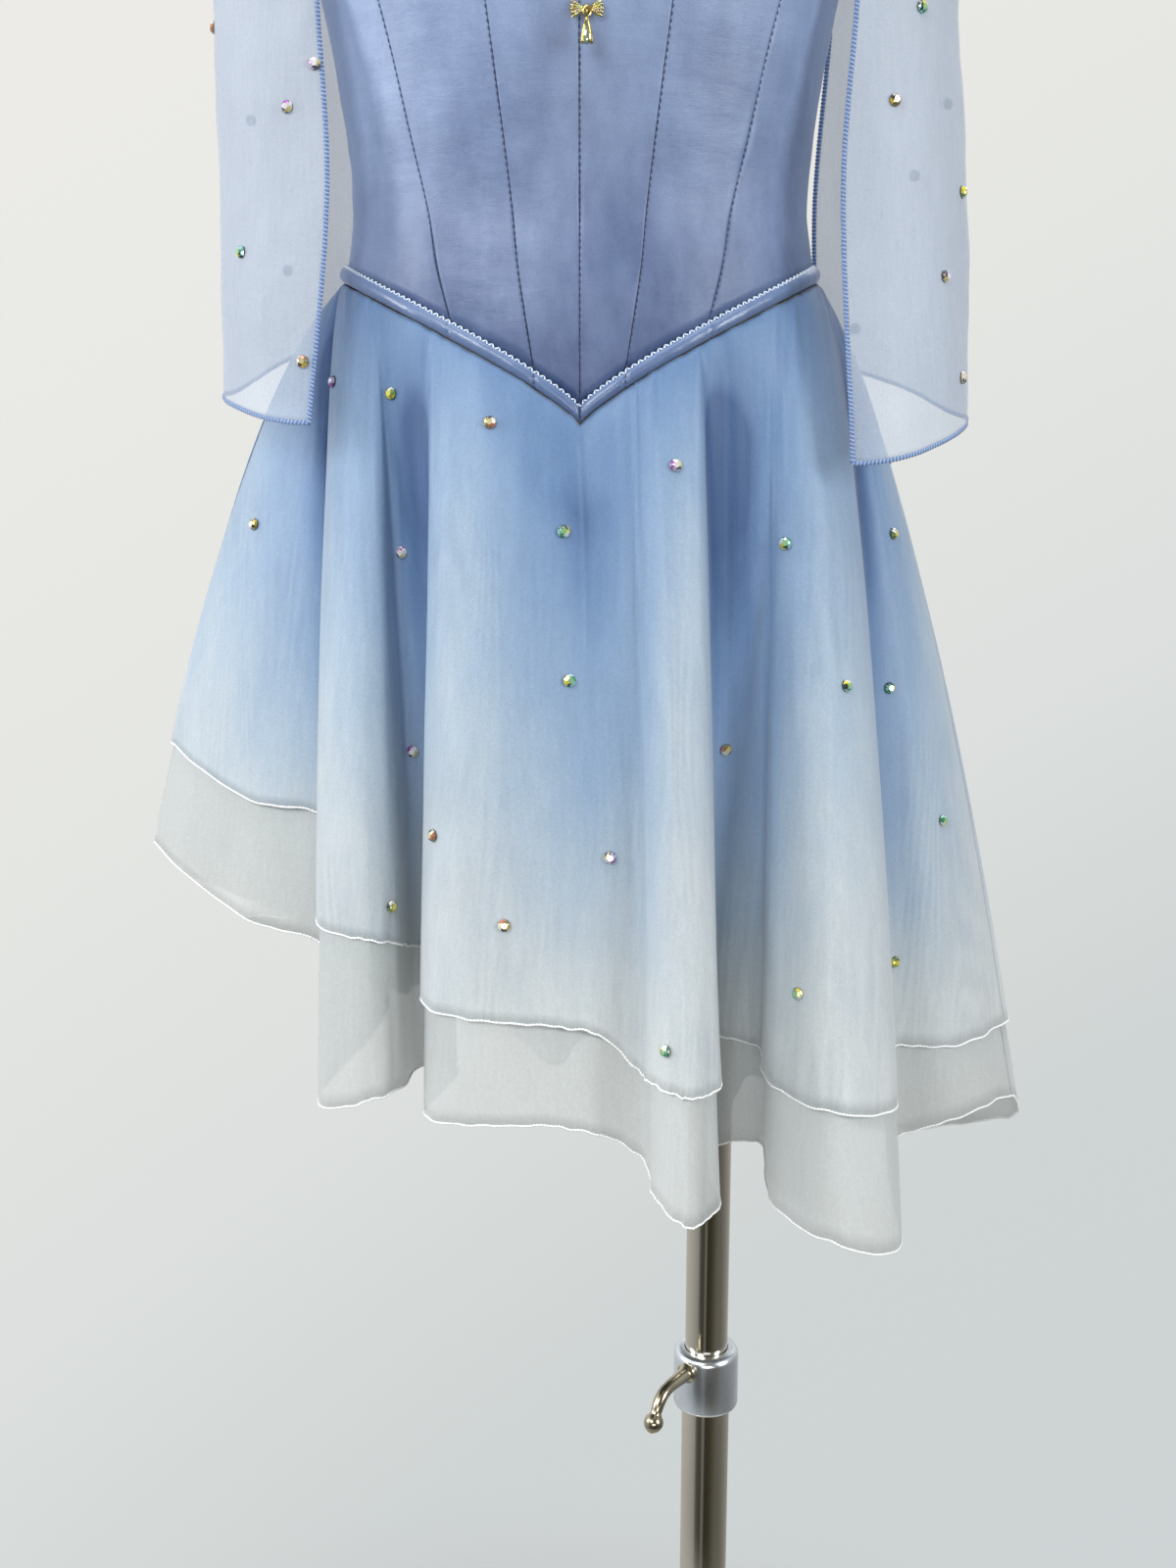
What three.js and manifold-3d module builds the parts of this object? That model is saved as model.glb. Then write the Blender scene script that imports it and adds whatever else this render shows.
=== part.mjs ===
import * as THREE from "three";
import { mergeVertices } from "three/addons/utils/BufferGeometryUtils.js";
import Module from "manifold-3d";

// A lyrical dance dress on a limbless torso form, on a pole stand.
// Millimetres, +Z up. The dress faces -Y, and +X is its left side, which is on the viewer's right.
// Angles round the body are degrees from the centre front, growing towards +X.

const wasm = await Module();
wasm.setup();

// Cloth
const SEAM_GAP = 0.3;
const SEAM_HALF_ANGLE = 0.09;
const SIDE_HALF_ANGLE = 0.2;
const SATIN_WALL = 1.5;
const SHEER_WALL = 1.2;
const FORM_CLEARANCE = 0.5;
const BODICE_FACE = FORM_CLEARANCE + SATIN_WALL;

// Waist band: its lower edge is level at the sides and back and dips to a point in front
const WAIST_Z = 1000;
const POINT_DIP = 68;
const POINT_POWER = 0.83;
const BAND_HEIGHT = 8.5;
// The padded roll's section: share of the band's height and distance out
const BAND_SECTION = [
  [0, 0.6],
  [1, 0.6],
  [1, 3],
  [0.8, 4.9],
  [0.5, 5.6],
  [0.2, 4.9],
  [0, 3],
];
const BAND_FRONT_STEPS = 16;
const BAND_BACK_STEPS = 22;
const BAND_CROWDING = 1.5;

// Torso sections: z, half width, depth in front of the side seams, depth behind them
const TORSO_COLUMNS = ["z", "width", "front", "back"];
const TORSO = [
  [820, 97, 70, 72],
  [824, 101, 74, 76],
  [835, 105, 77, 79],
  [870, 108, 82, 84],
  [920, 113, 88, 90],
  [960, 117, 91, 93],
  [1000, 118, 90, 92],
  [1034, 113.5, 86, 88],
  [1080, 117, 92, 90],
  [1137, 127, 102, 95],
  [1190, 138, 113, 100],
  [1230, 144, 112, 103],
  [1280, 148, 98, 102],
  [1330, 152, 84, 96],
  [1370, 152, 66, 82],
  [1400, 140, 52, 64],
  [1425, 92, 48, 54],
  [1445, 58, 49, 53],
  [1465, 54, 49, 52],
  [1496, 53, 50, 50],
  [1502, 50, 47, 47],
  [1504, 44, 41, 41],
];

// Bodice seams, neckline and armhole: angle round the body at each height, front half
const EDGE_COLUMNS = ["z", "angle"];
const CENTRE_FRONT = [
  [930, 0],
  [1262, 0],
];
const CENTRE_BACK = [
  [1000, 180],
  [1290, 180],
];
const BACK_ARM_EDGE = [
  [1000, 90],
  [1070, 90],
  [1130, 90],
  [1137, 90.6],
  [1150, 97],
  [1180, 113],
  [1215, 123],
];
const INNER_SEAM = [
  [953, 10.3],
  [1040, 16.4],
  [1120, 19.8],
  [1200, 21.5],
  [1272, 22],
];
const OUTER_SEAM = [
  [980, 31],
  [1058, 42.3],
  [1120, 47.3],
  [1170, 51.5],
  [1215, 57],
];
const SIDE_SEAM = [
  [1000, 90],
  [1137, 90],
];
// Strap edges run from the neckline or the armhole up to the shoulder seam at 90 degrees
const STRAP_COLUMNS = ["z", "neckFront", "armFront", "neckBack", "armBack"];
const STRAP = [
  [1215, 22, 57, 180, 123],
  [1272, 22, 56, 180, 124],
  [1300, 31, 56, 166, 124],
  [1340, 34, 57, 146, 122],
  [1375, 37, 61, 142, 118],
  [1396, 42, 74, 138, 105],
  [1400, 42.5, 90, 137.5, 90],
];
// The share of a long panel's rows that lies below the strap, and powers that space the strap's rows
// and turn its neck edge over the shoulder
const STRAP_SHARE = 4 / 9;
const STRAP_EASE = 1.7;
const SHOULDER_TURN = 2.6;
const SHOULDER_OUTER_Z = 1400;
const SHOULDER_INNER_Z = 1424;
const NECK_CENTRE_Z = 1262;
const NECK_CORNER_Z = 1272;
const BACK_NECK_Z = 1290;
const ARMHOLE_BOTTOM_Z = 1137;
const ARMHOLE_CORNER_Z = 1215;
const ARMHOLE_SCOOP = 36;
// The armhole's dip is deepest at a third of the panel's width, where this makes it 1
const SCOOP_PEAK = 27 / 4;
const LOWER_ARMHOLE = [
  [1165, 64],
  [1180, 60.5],
  [1215, 57],
  [1272, 56],
];

// Skirt: one row for each fold line, from the right side seam round the front and on round the back.
// waist is the angle where the fold line leaves the band, aim the angle that it heads for on the hem's oval,
// x and y its place at the outer hem, and outer and inner the heights of the two hems
const FOLD_COLUMNS = ["waist", "aim", "x", "y", "outer", "inner"];
const FRONT_FOLDS = [
  [-104, -91, -225, 4, 757, 702],
  [-97, -66, -176, -44, 738, 676],
  [-92, -48, -131, -64, 733, 664],
  [-89.5, -42, -108, -64, 712, 634],
  [-86, -37, -134, -90, 686, 594],
  [-72, -30, -110, -112, 682, 600],
  [-59, -27.5, -92, -104, 677, 602],
  [-51, -26, -84, -72, 665, 598],
  [-40, -23, -68, -76, 660, 597],
  [-32, -20, -80, -110, 651, 592],
  [-24, -12, -58, -142, 651, 598],
  [-8, -3.5, -15, -141, 647, 597],
  [0, 1.5, 9, -135, 640, 589],
  [11, 6, 30, -137, 622, 577],
  [14, 7.3, 34, -146, 621, 564],
  [19, 9, 49, -160, 618, 555],
  [26, 14, 66, -147, 616, 556],
  [32, 20, 72, -76, 617, 554],
  [44, 24.5, 94, -76, 610, 555],
  [54, 27, 96, -106, 604, 541],
  [68, 31, 126, -134, 599, 533],
  [84, 40, 161, -111, 592, 521],
  [90, 54, 168, -46, 599, 544],
  [97, 70, 203, -36, 596, 554],
];
const BACK_FOLDS = [
  [104, 91, 241, 4, 594, 550],
  [112, 104, 249, 44, 586, 522],
  [122, 118, 233, 95, 570, 493],
  [132, 131, 174, 96, 562, 489],
  [142, 144, 150, 150, 560, 488],
  [153, 155, 108, 182, 559, 487],
  [162, 162, 84, 126, 563, 490],
  [171, 170, 48, 188, 575, 502],
  [181, 179, 4, 196, 582, 508],
  [190, 186, -22, 128, 594, 520],
  [199, 193, -58, 186, 608, 533],
  [208, 203, -102, 172, 630, 556],
  [217, 212, -112, 110, 652, 576],
  [226, 221, -160, 136, 676, 599],
  [236, 232, -194, 96, 700, 627],
  [243, 243, -168, 58, 710, 642],
  [250, 255, -208, 42, 728, 668],
];
const FOLDS = [...FRONT_FOLDS, ...BACK_FOLDS];
const HEM_HALF_WIDTH = 224;
const HEM_FRONT_DEPTH = 112;
const HEM_BACK_DEPTH = 148;
const FLARE_POWER = 0.6;
const FOLD_POWER = 0.85;
const OUTER_LAYER_OUT = 3.6;
const LAYER_SPACING = 2.2;
const COLUMNS_PER_FOLD = 3;
// Shares of the drop where the layers have their rows, from the hem up. The inner one has another at its hem
const DROP_SHARES = [1, 0.7, 0.42, 0.2, 0.06, 0];
const NEAR_BAND = 1e-6;
const SIDE_SEAM_SHARE = 0.005;
const NUDGE = 0.01;

// Sleeves: one row for each level, from the hem up. inner is the x of both open edges, outer of the fold,
// front and back are the y of the open edges, and the drops say how far these lie below the fold
const SLEEVE_COLUMNS = ["level", "inner", "outer", "front", "back", "frontDrop", "backDrop"];
const SLEEVE_RIGHT_ARM = [
  [945, 131, 184, -77, 60, 13, -25],
  [1040, 121, 183, -62, 50, 0, 0],
  [1127, 124, 182, -54, 46, 0, 0],
];
const SLEEVE_LEFT_ARM = [
  [933, 132, 201, -82, 62, 20, -25],
  [1040, 126, 197, -64, 50, 0, 0],
  [1127, 131, 188, -54, 46, 0, 0],
];
const SLEEVE_START_Z = 1165;
const SLEEVE_SEAM_OUT = BODICE_FACE + 1.1;
const SLEEVE_PUFF = 26;
const CAP_SHARE = 0.55;
const CAP_LIFT = 0.45;
const SLEEVE_COLUMNS_ROUND = 14;
const SLEEVE_ROWS = 11;

// The form lies a little inside the cloth, and less on top of the shoulders, where the straps rest on it
const FORM_INSET = 2;
const SHOULDER_INSET = 0.9;
const SHOULDER_REST_Z = 1414;
const FORM_SIDES = 32;
const FORM_STEP_UP = 30;
const FORM_STEP_IN = 10;
const FORM_BOTTOM_Z = TORSO[0][0];
const FORM_TOP_Z = TORSO.at(-1)[0];

// Pole stand
const POLE_X = 74;
const BASE_RADIUS = 160;
const BASE_THICKNESS = 8;
const BASE_EDGE = 1;
const BASE_BEVEL = 3;
const BASE_SEGMENTS = 40;
const UPPER_TUBE_RADIUS = 12.5;
const LOWER_TUBE_RADIUS = 14;
const TUBE_GAP = 0.3;
const TUBE_WALL = 1.2;
const TUBE_SIDES = 24;
const SOCKET_RADIUS = 22;
const SOCKET_TOP_Z = 30;
const SOCKET_BEVEL = 3;
const COLLAR_RADIUS = 19;
const COLLAR_BOTTOM_Z = 357.5;
const COLLAR_TOP_Z = 394;
const COLLAR_LIP = 6;
const COLLAR_BEVEL = 2;
const COLLAR_SHOULDER = 3;
const UPPER_TUBE_END_Z = 190;
const FLANGE_RADIUS = 20;
const FLANGE_HEIGHT = 12;
const FLANGE_BEVEL = 2;
const FLANGE_SOCKET = 6;

// Clamp lever: distance from the pole axis, height above the screw and radius along its length
const LEVER_Z = 386;
const LEVER_DIRECTION = new THREE.Vector3(-0.6, -0.8, 0);
const LEVER_SIDES = 12;
const LEVER_COLUMNS = ["reach", "height", "radius"];
const LEVER = [
  [19.3, 0, 6],
  [22, 0, 6],
  [23, 0, 4.4],
  [32, 0, 3.8],
  [41, -0.4, 3.6],
  [47, -3, 3.6],
  [51, -8, 3.4],
  [52.2, -10.4, 3.2],
  [53, -12, 4.6],
  [54.4, -15.4, 5.6],
  [55.8, -18.8, 4.6],
  [56.6, -20.6, 2],
];

// Brooch: a bow with a hanging drop at the centre front
const BROOCH_Z = 1114;
const BROOCH_X = 3.5;
const BOW_THICKNESS = 2;
const BOW_TOP = 2;
const BOW_REST_UP = 5;
const BOW_CURVE_STEPS = 6;
// The right wing's curves, each as two control points and its end
const BOW_CURVES = [
  [2.5, 2.4, 4.7, 5.4, 6.7, 4],
  [7.9, 3.1, 7.7, -1.6, 6.5, -2.6],
  [5, -3.8, 2.9, -2.2, 0, -3.2],
];
const PEG_RADIUS = 0.6;
const PEG_DROP = 1.4;
const PEG_LENGTH = 4.1;
const PEG_ROOT = 1;
const RING_RADIUS = 1.6;
const RING_WIRE = 0.45;
const DROP_OUT = 2.95;
const BROOCH_SIDES = 12;
// The drop below its ring: radius and height, from its tip up
const PEAR = [
  [0, -12.1],
  [1.7, -11.8],
  [2.9, -11],
  [3.4, -9.6],
  [3.1, -7.3],
  [2.2, -4.6],
  [1.1, -1.6],
  [0.5, 0.2],
  [0, 0.4],
];

const SURFACE_STEP = 1e-3;
const NORMAL_STEP = 0.5;

const radians = THREE.MathUtils.degToRad;
const lerp = THREE.MathUtils.lerp;

function named(row, columns) {
  return Object.fromEntries(columns.map((column, i) => [column, row[i]]));
}

// A smooth curve through a table's rows, read at a value of its first column
function rowAt(table, columns, value) {
  const last = table.length - 1;
  const key = Math.min(Math.max(value, table[0][0]), table[last][0]);
  let i = 0;
  while (i < last - 1 && key > table[i + 1][0]) i++;
  const step = table[i + 1][0] - table[i][0];
  const share = (key - table[i][0]) / step;
  const slope = (k, column) => {
    const a = table[Math.max(k - 1, 0)];
    const b = table[Math.min(k + 1, last)];
    return (b[column] - a[column]) / (b[0] - a[0]);
  };
  const row = table[i].map((start, column) => {
    const end = table[i + 1][column];
    const enter = slope(i, column) * step;
    const leave = slope(i + 1, column) * step;
    const s2 = share * share;
    const s3 = s2 * share;
    const between = start * (2 * s3 - 3 * s2 + 1) + end * (3 * s2 - 2 * s3);
    return between + enter * (s3 - 2 * s2 + share) + leave * (s3 - s2);
  });
  return named(row, columns);
}

// A closed centripetal Catmull-Rom curve through the fold lines, read at a row number
function foldAt(position) {
  const count = FOLDS.length;
  const base = Math.floor(position);
  const share = position - base;
  const rows = [-1, 0, 1, 2].map((k) => {
    const index = base + k;
    const row = [...FOLDS[((index % count) + count) % count]];
    const turns = Math.floor(index / count);
    row[0] += 360 * turns;
    row[1] += 360 * turns;
    return row;
  });
  const knots = [0];
  for (let k = 1; k < 4; k++) {
    const span = Math.hypot(rows[k][2] - rows[k - 1][2], rows[k][3] - rows[k - 1][3]);
    knots.push(knots[k - 1] + Math.sqrt(span));
  }
  const at = lerp(knots[1], knots[2], share);
  const blend = (a, b, from, to) => a.map((v, c) => lerp(v, b[c], (at - from) / (to - from)));
  const a = [0, 1, 2].map((k) => blend(rows[k], rows[k + 1], knots[k], knots[k + 1]));
  const b = [0, 1].map((k) => blend(a[k], a[k + 1], knots[k], knots[k + 2]));
  return named(blend(b[0], b[1], knots[1], knots[2]), FOLD_COLUMNS);
}

function sectionPoint(angle, z) {
  const section = rowAt(TORSO, TORSO_COLUMNS, z);
  const turn = radians(angle);
  const depth = Math.cos(turn) > 0 ? section.front : section.back;
  return new THREE.Vector3(section.width * Math.sin(turn), -depth * Math.cos(turn), z);
}

// A point at a distance out from the torso, along its normal
function torsoPoint(angle, z, out) {
  const along = sectionPoint(angle + NORMAL_STEP, z).sub(sectionPoint(angle - NORMAL_STEP, z));
  const up = sectionPoint(angle, z + NORMAL_STEP).sub(sectionPoint(angle, z - NORMAL_STEP));
  return sectionPoint(angle, z).addScaledVector(along.cross(up).normalize(), out);
}

function bandLower(angle) {
  const sine = Math.cos(radians(angle)) > 0 ? Math.abs(Math.sin(radians(angle))) : 1;
  return WAIST_Z - POINT_DIP * (1 - sine ** POINT_POWER);
}

function meshOf(name, positions, triangles, colour, roughness = 0.8, metalness = 0) {
  const geometry = new THREE.BufferGeometry();
  geometry.setAttribute("position", new THREE.Float32BufferAttribute(positions, 3));
  geometry.setIndex(triangles);
  geometry.computeVertexNormals();
  return materialMesh(name, geometry, colour, roughness, metalness);
}

function materialMesh(name, geometry, colour, roughness, metalness) {
  const material = new THREE.MeshStandardMaterial({ color: colour, roughness, metalness });
  const mesh = new THREE.Mesh(geometry, material);
  mesh.name = name;
  return mesh;
}

// A cloth wall on a surface whose first parameter runs anticlockwise seen from above and whose second runs up
function clothWall(name, surface, columns, rows, wall, colour) {
  const step = SURFACE_STEP;
  const positions = [];
  for (const side of [1, -1])
    for (let j = 0; j <= rows; j++)
      for (let i = 0; i <= columns; i++) {
        const u = i / columns;
        const v = j / rows;
        const uLow = Math.max(u - step, 0);
        const uHigh = Math.min(u + step, 1);
        const vLow = Math.max(v - step, 0);
        const vHigh = Math.min(v + step, 1);
        const along = surface(uHigh, v).sub(surface(uLow, v));
        const up = surface(u, vHigh).sub(surface(u, vLow));
        const normal = along.cross(up).normalize();
        positions.push(...surface(u, v).addScaledVector(normal, (side * wall) / 2));
      }
  const across = columns + 1;
  const inside = across * (rows + 1);
  const triangles = [];
  const quad = (a, b, c, d) => triangles.push(a, b, c, a, c, d);
  for (let j = 0; j < rows; j++)
    for (let i = 0; i < columns; i++) {
      const k = j * across + i;
      quad(k, k + 1, k + across + 1, k + across);
      quad(inside + k, inside + k + across, inside + k + across + 1, inside + k + 1);
    }
  for (let i = 0; i < columns; i++) {
    const top = rows * across + i;
    quad(inside + i, inside + i + 1, i + 1, i);
    quad(top, top + 1, inside + top + 1, inside + top);
  }
  for (let j = 0; j < rows; j++) {
    const start = j * across;
    const end = start + columns;
    quad(inside + start, start, start + across, inside + start + across);
    quad(inside + end, inside + end + across, end + across, end);
  }
  return meshOf(name, positions, triangles, colour);
}

// A solid through closed sections, each anticlockwise seen from the end it grows towards
function loft(name, sections, colour, roughness, metalness) {
  const sides = sections[0].length;
  const centre = (points) =>
    points.reduce((sum, p) => sum.add(p), new THREE.Vector3()).divideScalar(points.length);
  const positions = sections.flat().flatMap((p) => [...p]);
  const first = positions.length / 3;
  positions.push(...centre(sections[0]), ...centre(sections.at(-1)));
  const triangles = [];
  for (let i = 0; i < sides; i++) {
    const next = (i + 1) % sides;
    for (let k = 0; k < sections.length - 1; k++) {
      const a = k * sides;
      const b = a + sides;
      triangles.push(a + i, a + next, b + next, a + i, b + next, b + i);
    }
    const end = (sections.length - 1) * sides;
    triangles.push(first, next, i, first + 1, end + i, end + next);
  }
  return meshOf(name, positions, triangles, colour, roughness, metalness);
}

// A turned solid about +Z from a closed profile of radius and height
function turned(name, profile, x, segments, colour, roughness, metalness) {
  const points = profile.map(([radius, z]) => new THREE.Vector2(radius, z));
  const closed = points[0].x > 0 ? [...points, points[0].clone()] : points;
  const geometry = new THREE.LatheGeometry(closed, segments).rotateX(Math.PI / 2);
  const mesh = materialMesh(name, geometry, colour, roughness, metalness);
  mesh.position.x = x;
  return mesh;
}

// Two closed geometries joined as one
function joined(a, b) {
  const solid = (geometry) => {
    const bare = geometry.clone();
    bare.deleteAttribute("normal");
    bare.deleteAttribute("uv");
    const merged = mergeVertices(bare, 1e-4);
    const triVerts = new Uint32Array(merged.index.array);
    const vertProperties = merged.attributes.position.array;
    return new wasm.Manifold(new wasm.Mesh({ numProp: 3, vertProperties, triVerts }));
  };
  const result = solid(a).add(solid(b)).getMesh();
  const geometry = new THREE.BufferGeometry();
  geometry.setAttribute("position", new THREE.BufferAttribute(result.vertProperties, 3));
  geometry.setIndex([...result.triVerts]);
  geometry.computeVertexNormals();
  return geometry;
}

const SATIN = 0x8398c4;
const SATIN_DARK = 0x768bb8;
const OUTER_CHIFFON = 0x9dbbe0;
const INNER_CHIFFON = 0xe3e8e8;
const ORGANZA = 0xb9cbe2;
const GOLD = 0xb49a55;
const CHROME = 0xc9cbce;
const FORM_WHITE = 0xe9e7e2;

function bandFoot(angle) {
  return bandLower(angle) + BAND_HEIGHT + SEAM_GAP;
}

// A seam from the band up to a height: where it lies at each share of its length
function seam(table, top, side, shift) {
  const angleAt = (z) => rowAt(table, EDGE_COLUMNS, z).angle + shift;
  let foot = table[0][0];
  for (let i = 0; i < 8; i++) foot = bandFoot(angleAt(foot));
  return (v) => {
    const z = lerp(foot, top, v);
    return { angle: side * angleAt(z), z };
  };
}

// A seam that runs on along an edge of the shoulder strap, up to the shoulder seam
function strapEdge(table, corner, column, side, shift) {
  const below = seam(table, corner, side, shift);
  const shoulder = column.startsWith("neck") ? SHOULDER_INNER_Z : SHOULDER_OUTER_Z;
  return (v) => {
    if (v <= STRAP_SHARE) return below(v / STRAP_SHARE);
    const climb = 1 - ((1 - v) / (1 - STRAP_SHARE)) ** STRAP_EASE;
    const z = lerp(corner, shoulder, climb);
    const strap = rowAt(STRAP, STRAP_COLUMNS, Math.min(z, SHOULDER_OUTER_Z))[column];
    const over = Math.max(0, (z - SHOULDER_OUTER_Z) / (SHOULDER_INNER_Z - SHOULDER_OUTER_Z)) ** SHOULDER_TURN;
    const ahead = column.endsWith("Front") ? -SIDE_HALF_ANGLE : SIDE_HALF_ANGLE;
    return { angle: side * (lerp(strap, 90, over) + ahead), z };
  };
}

// A panel ruled between two edges. Its foot follows the band, and its top can dip into the armhole
function panel(name, side, near, far, columns, rows, colour, scoop = 0) {
  const [left, right] = side > 0 ? [near, far] : [far, near];
  const surface = (u, v) => {
    const angle = lerp(left(v).angle, right(v).angle, u);
    const straight = lerp(left(v).z, right(v).z, u);
    const footAngle = lerp(left(0).angle, right(0).angle, u);
    const footLift = bandFoot(footAngle) - lerp(left(0).z, right(0).z, u);
    const across = side > 0 ? u : 1 - u;
    const dip = SCOOP_PEAK * across * (1 - across) ** 2 * v ** 3;
    const z = straight + footLift * (1 - v) ** 3 - scoop * dip;
    return torsoPoint(angle, z, FORM_CLEARANCE + SATIN_WALL / 2);
  };
  return clothWall(name, surface, columns, rows, SATIN_WALL, colour);
}

function bodice() {
  const parts = [];
  for (const [word, side] of [
    ["left", 1],
    ["right", -1],
  ]) {
    const ruled = (name, ...rest) => parts.push(panel(name + word, side, ...rest));
    const centre = seam(CENTRE_FRONT, NECK_CENTRE_Z, side, SEAM_HALF_ANGLE);
    const inner = seam(INNER_SEAM, NECK_CORNER_Z, side, -SEAM_HALF_ANGLE);
    ruled("front_centre_", centre, inner, 6, 8, SATIN_DARK);
    const neckFront = strapEdge(INNER_SEAM, NECK_CORNER_Z, "neckFront", side, SEAM_HALF_ANGLE);
    const armFront = strapEdge(OUTER_SEAM, ARMHOLE_CORNER_Z, "armFront", side, -SEAM_HALF_ANGLE);
    ruled("front_mid_", neckFront, armFront, 5, 18, SATIN);
    const outer = seam(OUTER_SEAM, ARMHOLE_CORNER_Z, side, SEAM_HALF_ANGLE);
    const flank = seam(SIDE_SEAM, ARMHOLE_BOTTOM_Z, side, -SIDE_HALF_ANGLE);
    ruled("front_side_", outer, flank, 6, 8, SATIN, ARMHOLE_SCOOP);
    const armBack = strapEdge(BACK_ARM_EDGE, ARMHOLE_CORNER_Z, "armBack", side, SIDE_HALF_ANGLE);
    const neckBack = strapEdge(CENTRE_BACK, BACK_NECK_Z, "neckBack", side, -SEAM_HALF_ANGLE);
    ruled("back_", armBack, neckBack, 8, 18, SATIN);
  }
  return parts;
}

// A power over 1 crowds the steps towards the start, and a negative one towards the end
function band(name, from, to, steps, power) {
  const sections = [];
  for (let i = 0; i <= steps; i++) {
    const share = power > 0 ? (i / steps) ** power : 1 - (1 - i / steps) ** -power;
    const angle = lerp(from, to, share);
    const lower = bandLower(angle);
    sections.push(BAND_SECTION.map(([up, out]) => torsoPoint(angle, lower + up * BAND_HEIGHT, out)));
  }
  return loft(name, sections, SATIN, 0.5);
}

function waistBand() {
  return [
    band("band_front_left", SEAM_HALF_ANGLE, 90 - SIDE_HALF_ANGLE, BAND_FRONT_STEPS, BAND_CROWDING),
    band("band_front_right", -90 + SIDE_HALF_ANGLE, -SEAM_HALF_ANGLE, BAND_FRONT_STEPS, -BAND_CROWDING),
    band("band_back", 90 + SIDE_HALF_ANGLE, 270 - SIDE_HALF_ANGLE, BAND_BACK_STEPS, 1),
  ];
}

// A point of the skirt's outer layer at a fold row number and a share of the outer layer's drop.
// The inner layer follows it on, past a share of 1
function skirtPoint(position, share) {
  const fold = foldAt(position);
  const top = torsoPoint(fold.waist, bandLower(fold.waist) - SEAM_GAP, OUTER_LAYER_OUT);
  const turn = radians(fold.aim);
  const depth = Math.cos(turn) < 0 ? HEM_BACK_DEPTH : HEM_FRONT_DEPTH;
  const baseX = HEM_HALF_WIDTH * Math.sin(turn);
  const baseY = -depth * Math.cos(turn);
  const flare = share ** FLARE_POWER;
  const folded = share ** FOLD_POWER;
  return new THREE.Vector3(
    top.x + (baseX - top.x) * flare + (fold.x - baseX) * folded,
    top.y + (baseY - top.y) * flare + (fold.y - baseY) * folded,
    lerp(top.z, fold.outer, share),
  );
}

function skirtLayer(name, from, to, inward, colour) {
  const rows = inward > 0 ? DROP_SHARES.length : DROP_SHARES.length - 1;
  const surface = (u, v) => {
    const position = lerp(from + SIDE_SEAM_SHARE, to - SIDE_SEAM_SHARE, u);
    const fold = foldAt(position);
    const topZ = bandLower(fold.waist) - SEAM_GAP;
    const shares = inward > 0 ? [(topZ - fold.inner) / (topZ - fold.outer), ...DROP_SHARES] : DROP_SHARES;
    const row = Math.min(Math.floor(v * rows), rows - 1);
    const share = Math.max(lerp(shares[row], shares[row + 1], v * rows - row), NEAR_BAND);
    const low = Math.max(share - NUDGE, NEAR_BAND);
    const along = skirtPoint(position + NUDGE, share).sub(skirtPoint(position - NUDGE, share));
    const down = skirtPoint(position, share + NUDGE).sub(skirtPoint(position, low));
    return skirtPoint(position, share).addScaledVector(down.cross(along).normalize(), -inward);
  };
  return clothWall(name, surface, (to - from) * COLUMNS_PER_FOLD, rows, SHEER_WALL, colour);
}

function skirt() {
  const middle = FRONT_FOLDS.length;
  const end = FOLDS.length;
  return [
    skirtLayer("skirt_outer_front", 0, middle, 0, OUTER_CHIFFON),
    skirtLayer("skirt_outer_back", middle, end, 0, OUTER_CHIFFON),
    skirtLayer("skirt_inner_front", 0, middle, LAYER_SPACING, INNER_CHIFFON),
    skirtLayer("skirt_inner_back", middle, end, LAYER_SPACING, INNER_CHIFFON),
  ];
}

// The armhole from its lower front over the shoulder to its lower back, and down the sleeve to the hem
function sleeve(name, side, table) {
  const level = (z) => rowAt(table, SLEEVE_COLUMNS, z);
  const hemZ = table[0][0];
  const topZ = table.at(-1)[0];
  const ring = (round, z) => {
    const row = level(z);
    const sine = Math.sin(Math.PI * round);
    const cosine = Math.cos(Math.PI * round);
    const x = lerp(row.inner, row.outer, sine);
    const y = cosine > 0 ? row.front * cosine : -row.back * cosine;
    const drop = (cosine > 0 ? row.frontDrop : row.backDrop) * cosine * cosine;
    return new THREE.Vector3(side * x, y, z - drop);
  };
  const armhole = (round) => {
    const front = round < 0.5;
    const climb = 1 - Math.abs(1 - 2 * round);
    const z = lerp(SLEEVE_START_Z, SHOULDER_OUTER_Z, Math.sin((climb * Math.PI) / 2));
    const low = z < ARMHOLE_CORNER_Z;
    const edge = low ? rowAt(LOWER_ARMHOLE, EDGE_COLUMNS, z).angle : rowAt(STRAP, STRAP_COLUMNS, z).armFront;
    const angle = Math.min(edge, 90);
    return { angle: side * (front ? angle : 180 - angle), z };
  };
  const surface = (u, v) => {
    const round = side > 0 ? u : 1 - u;
    if (v <= CAP_SHARE) return ring(round, lerp(hemZ, topZ, v / CAP_SHARE));
    const climb = (v - CAP_SHARE) / (1 - CAP_SHARE);
    const start = ring(round, topZ);
    const hole = armhole(round);
    const end = torsoPoint(hole.angle, hole.z, SLEEVE_SEAM_OUT);
    const away = torsoPoint(hole.angle, hole.z, SLEEVE_SEAM_OUT + SLEEVE_PUFF * Math.sin(Math.PI * round));
    const lift = start.clone().setZ(lerp(start.z, end.z, CAP_LIFT));
    return new THREE.CubicBezierCurve3(start, lift, away, end).getPoint(climb);
  };
  return clothWall(name, surface, SLEEVE_COLUMNS_ROUND, SLEEVE_ROWS, SHEER_WALL, ORGANZA);
}

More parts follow.
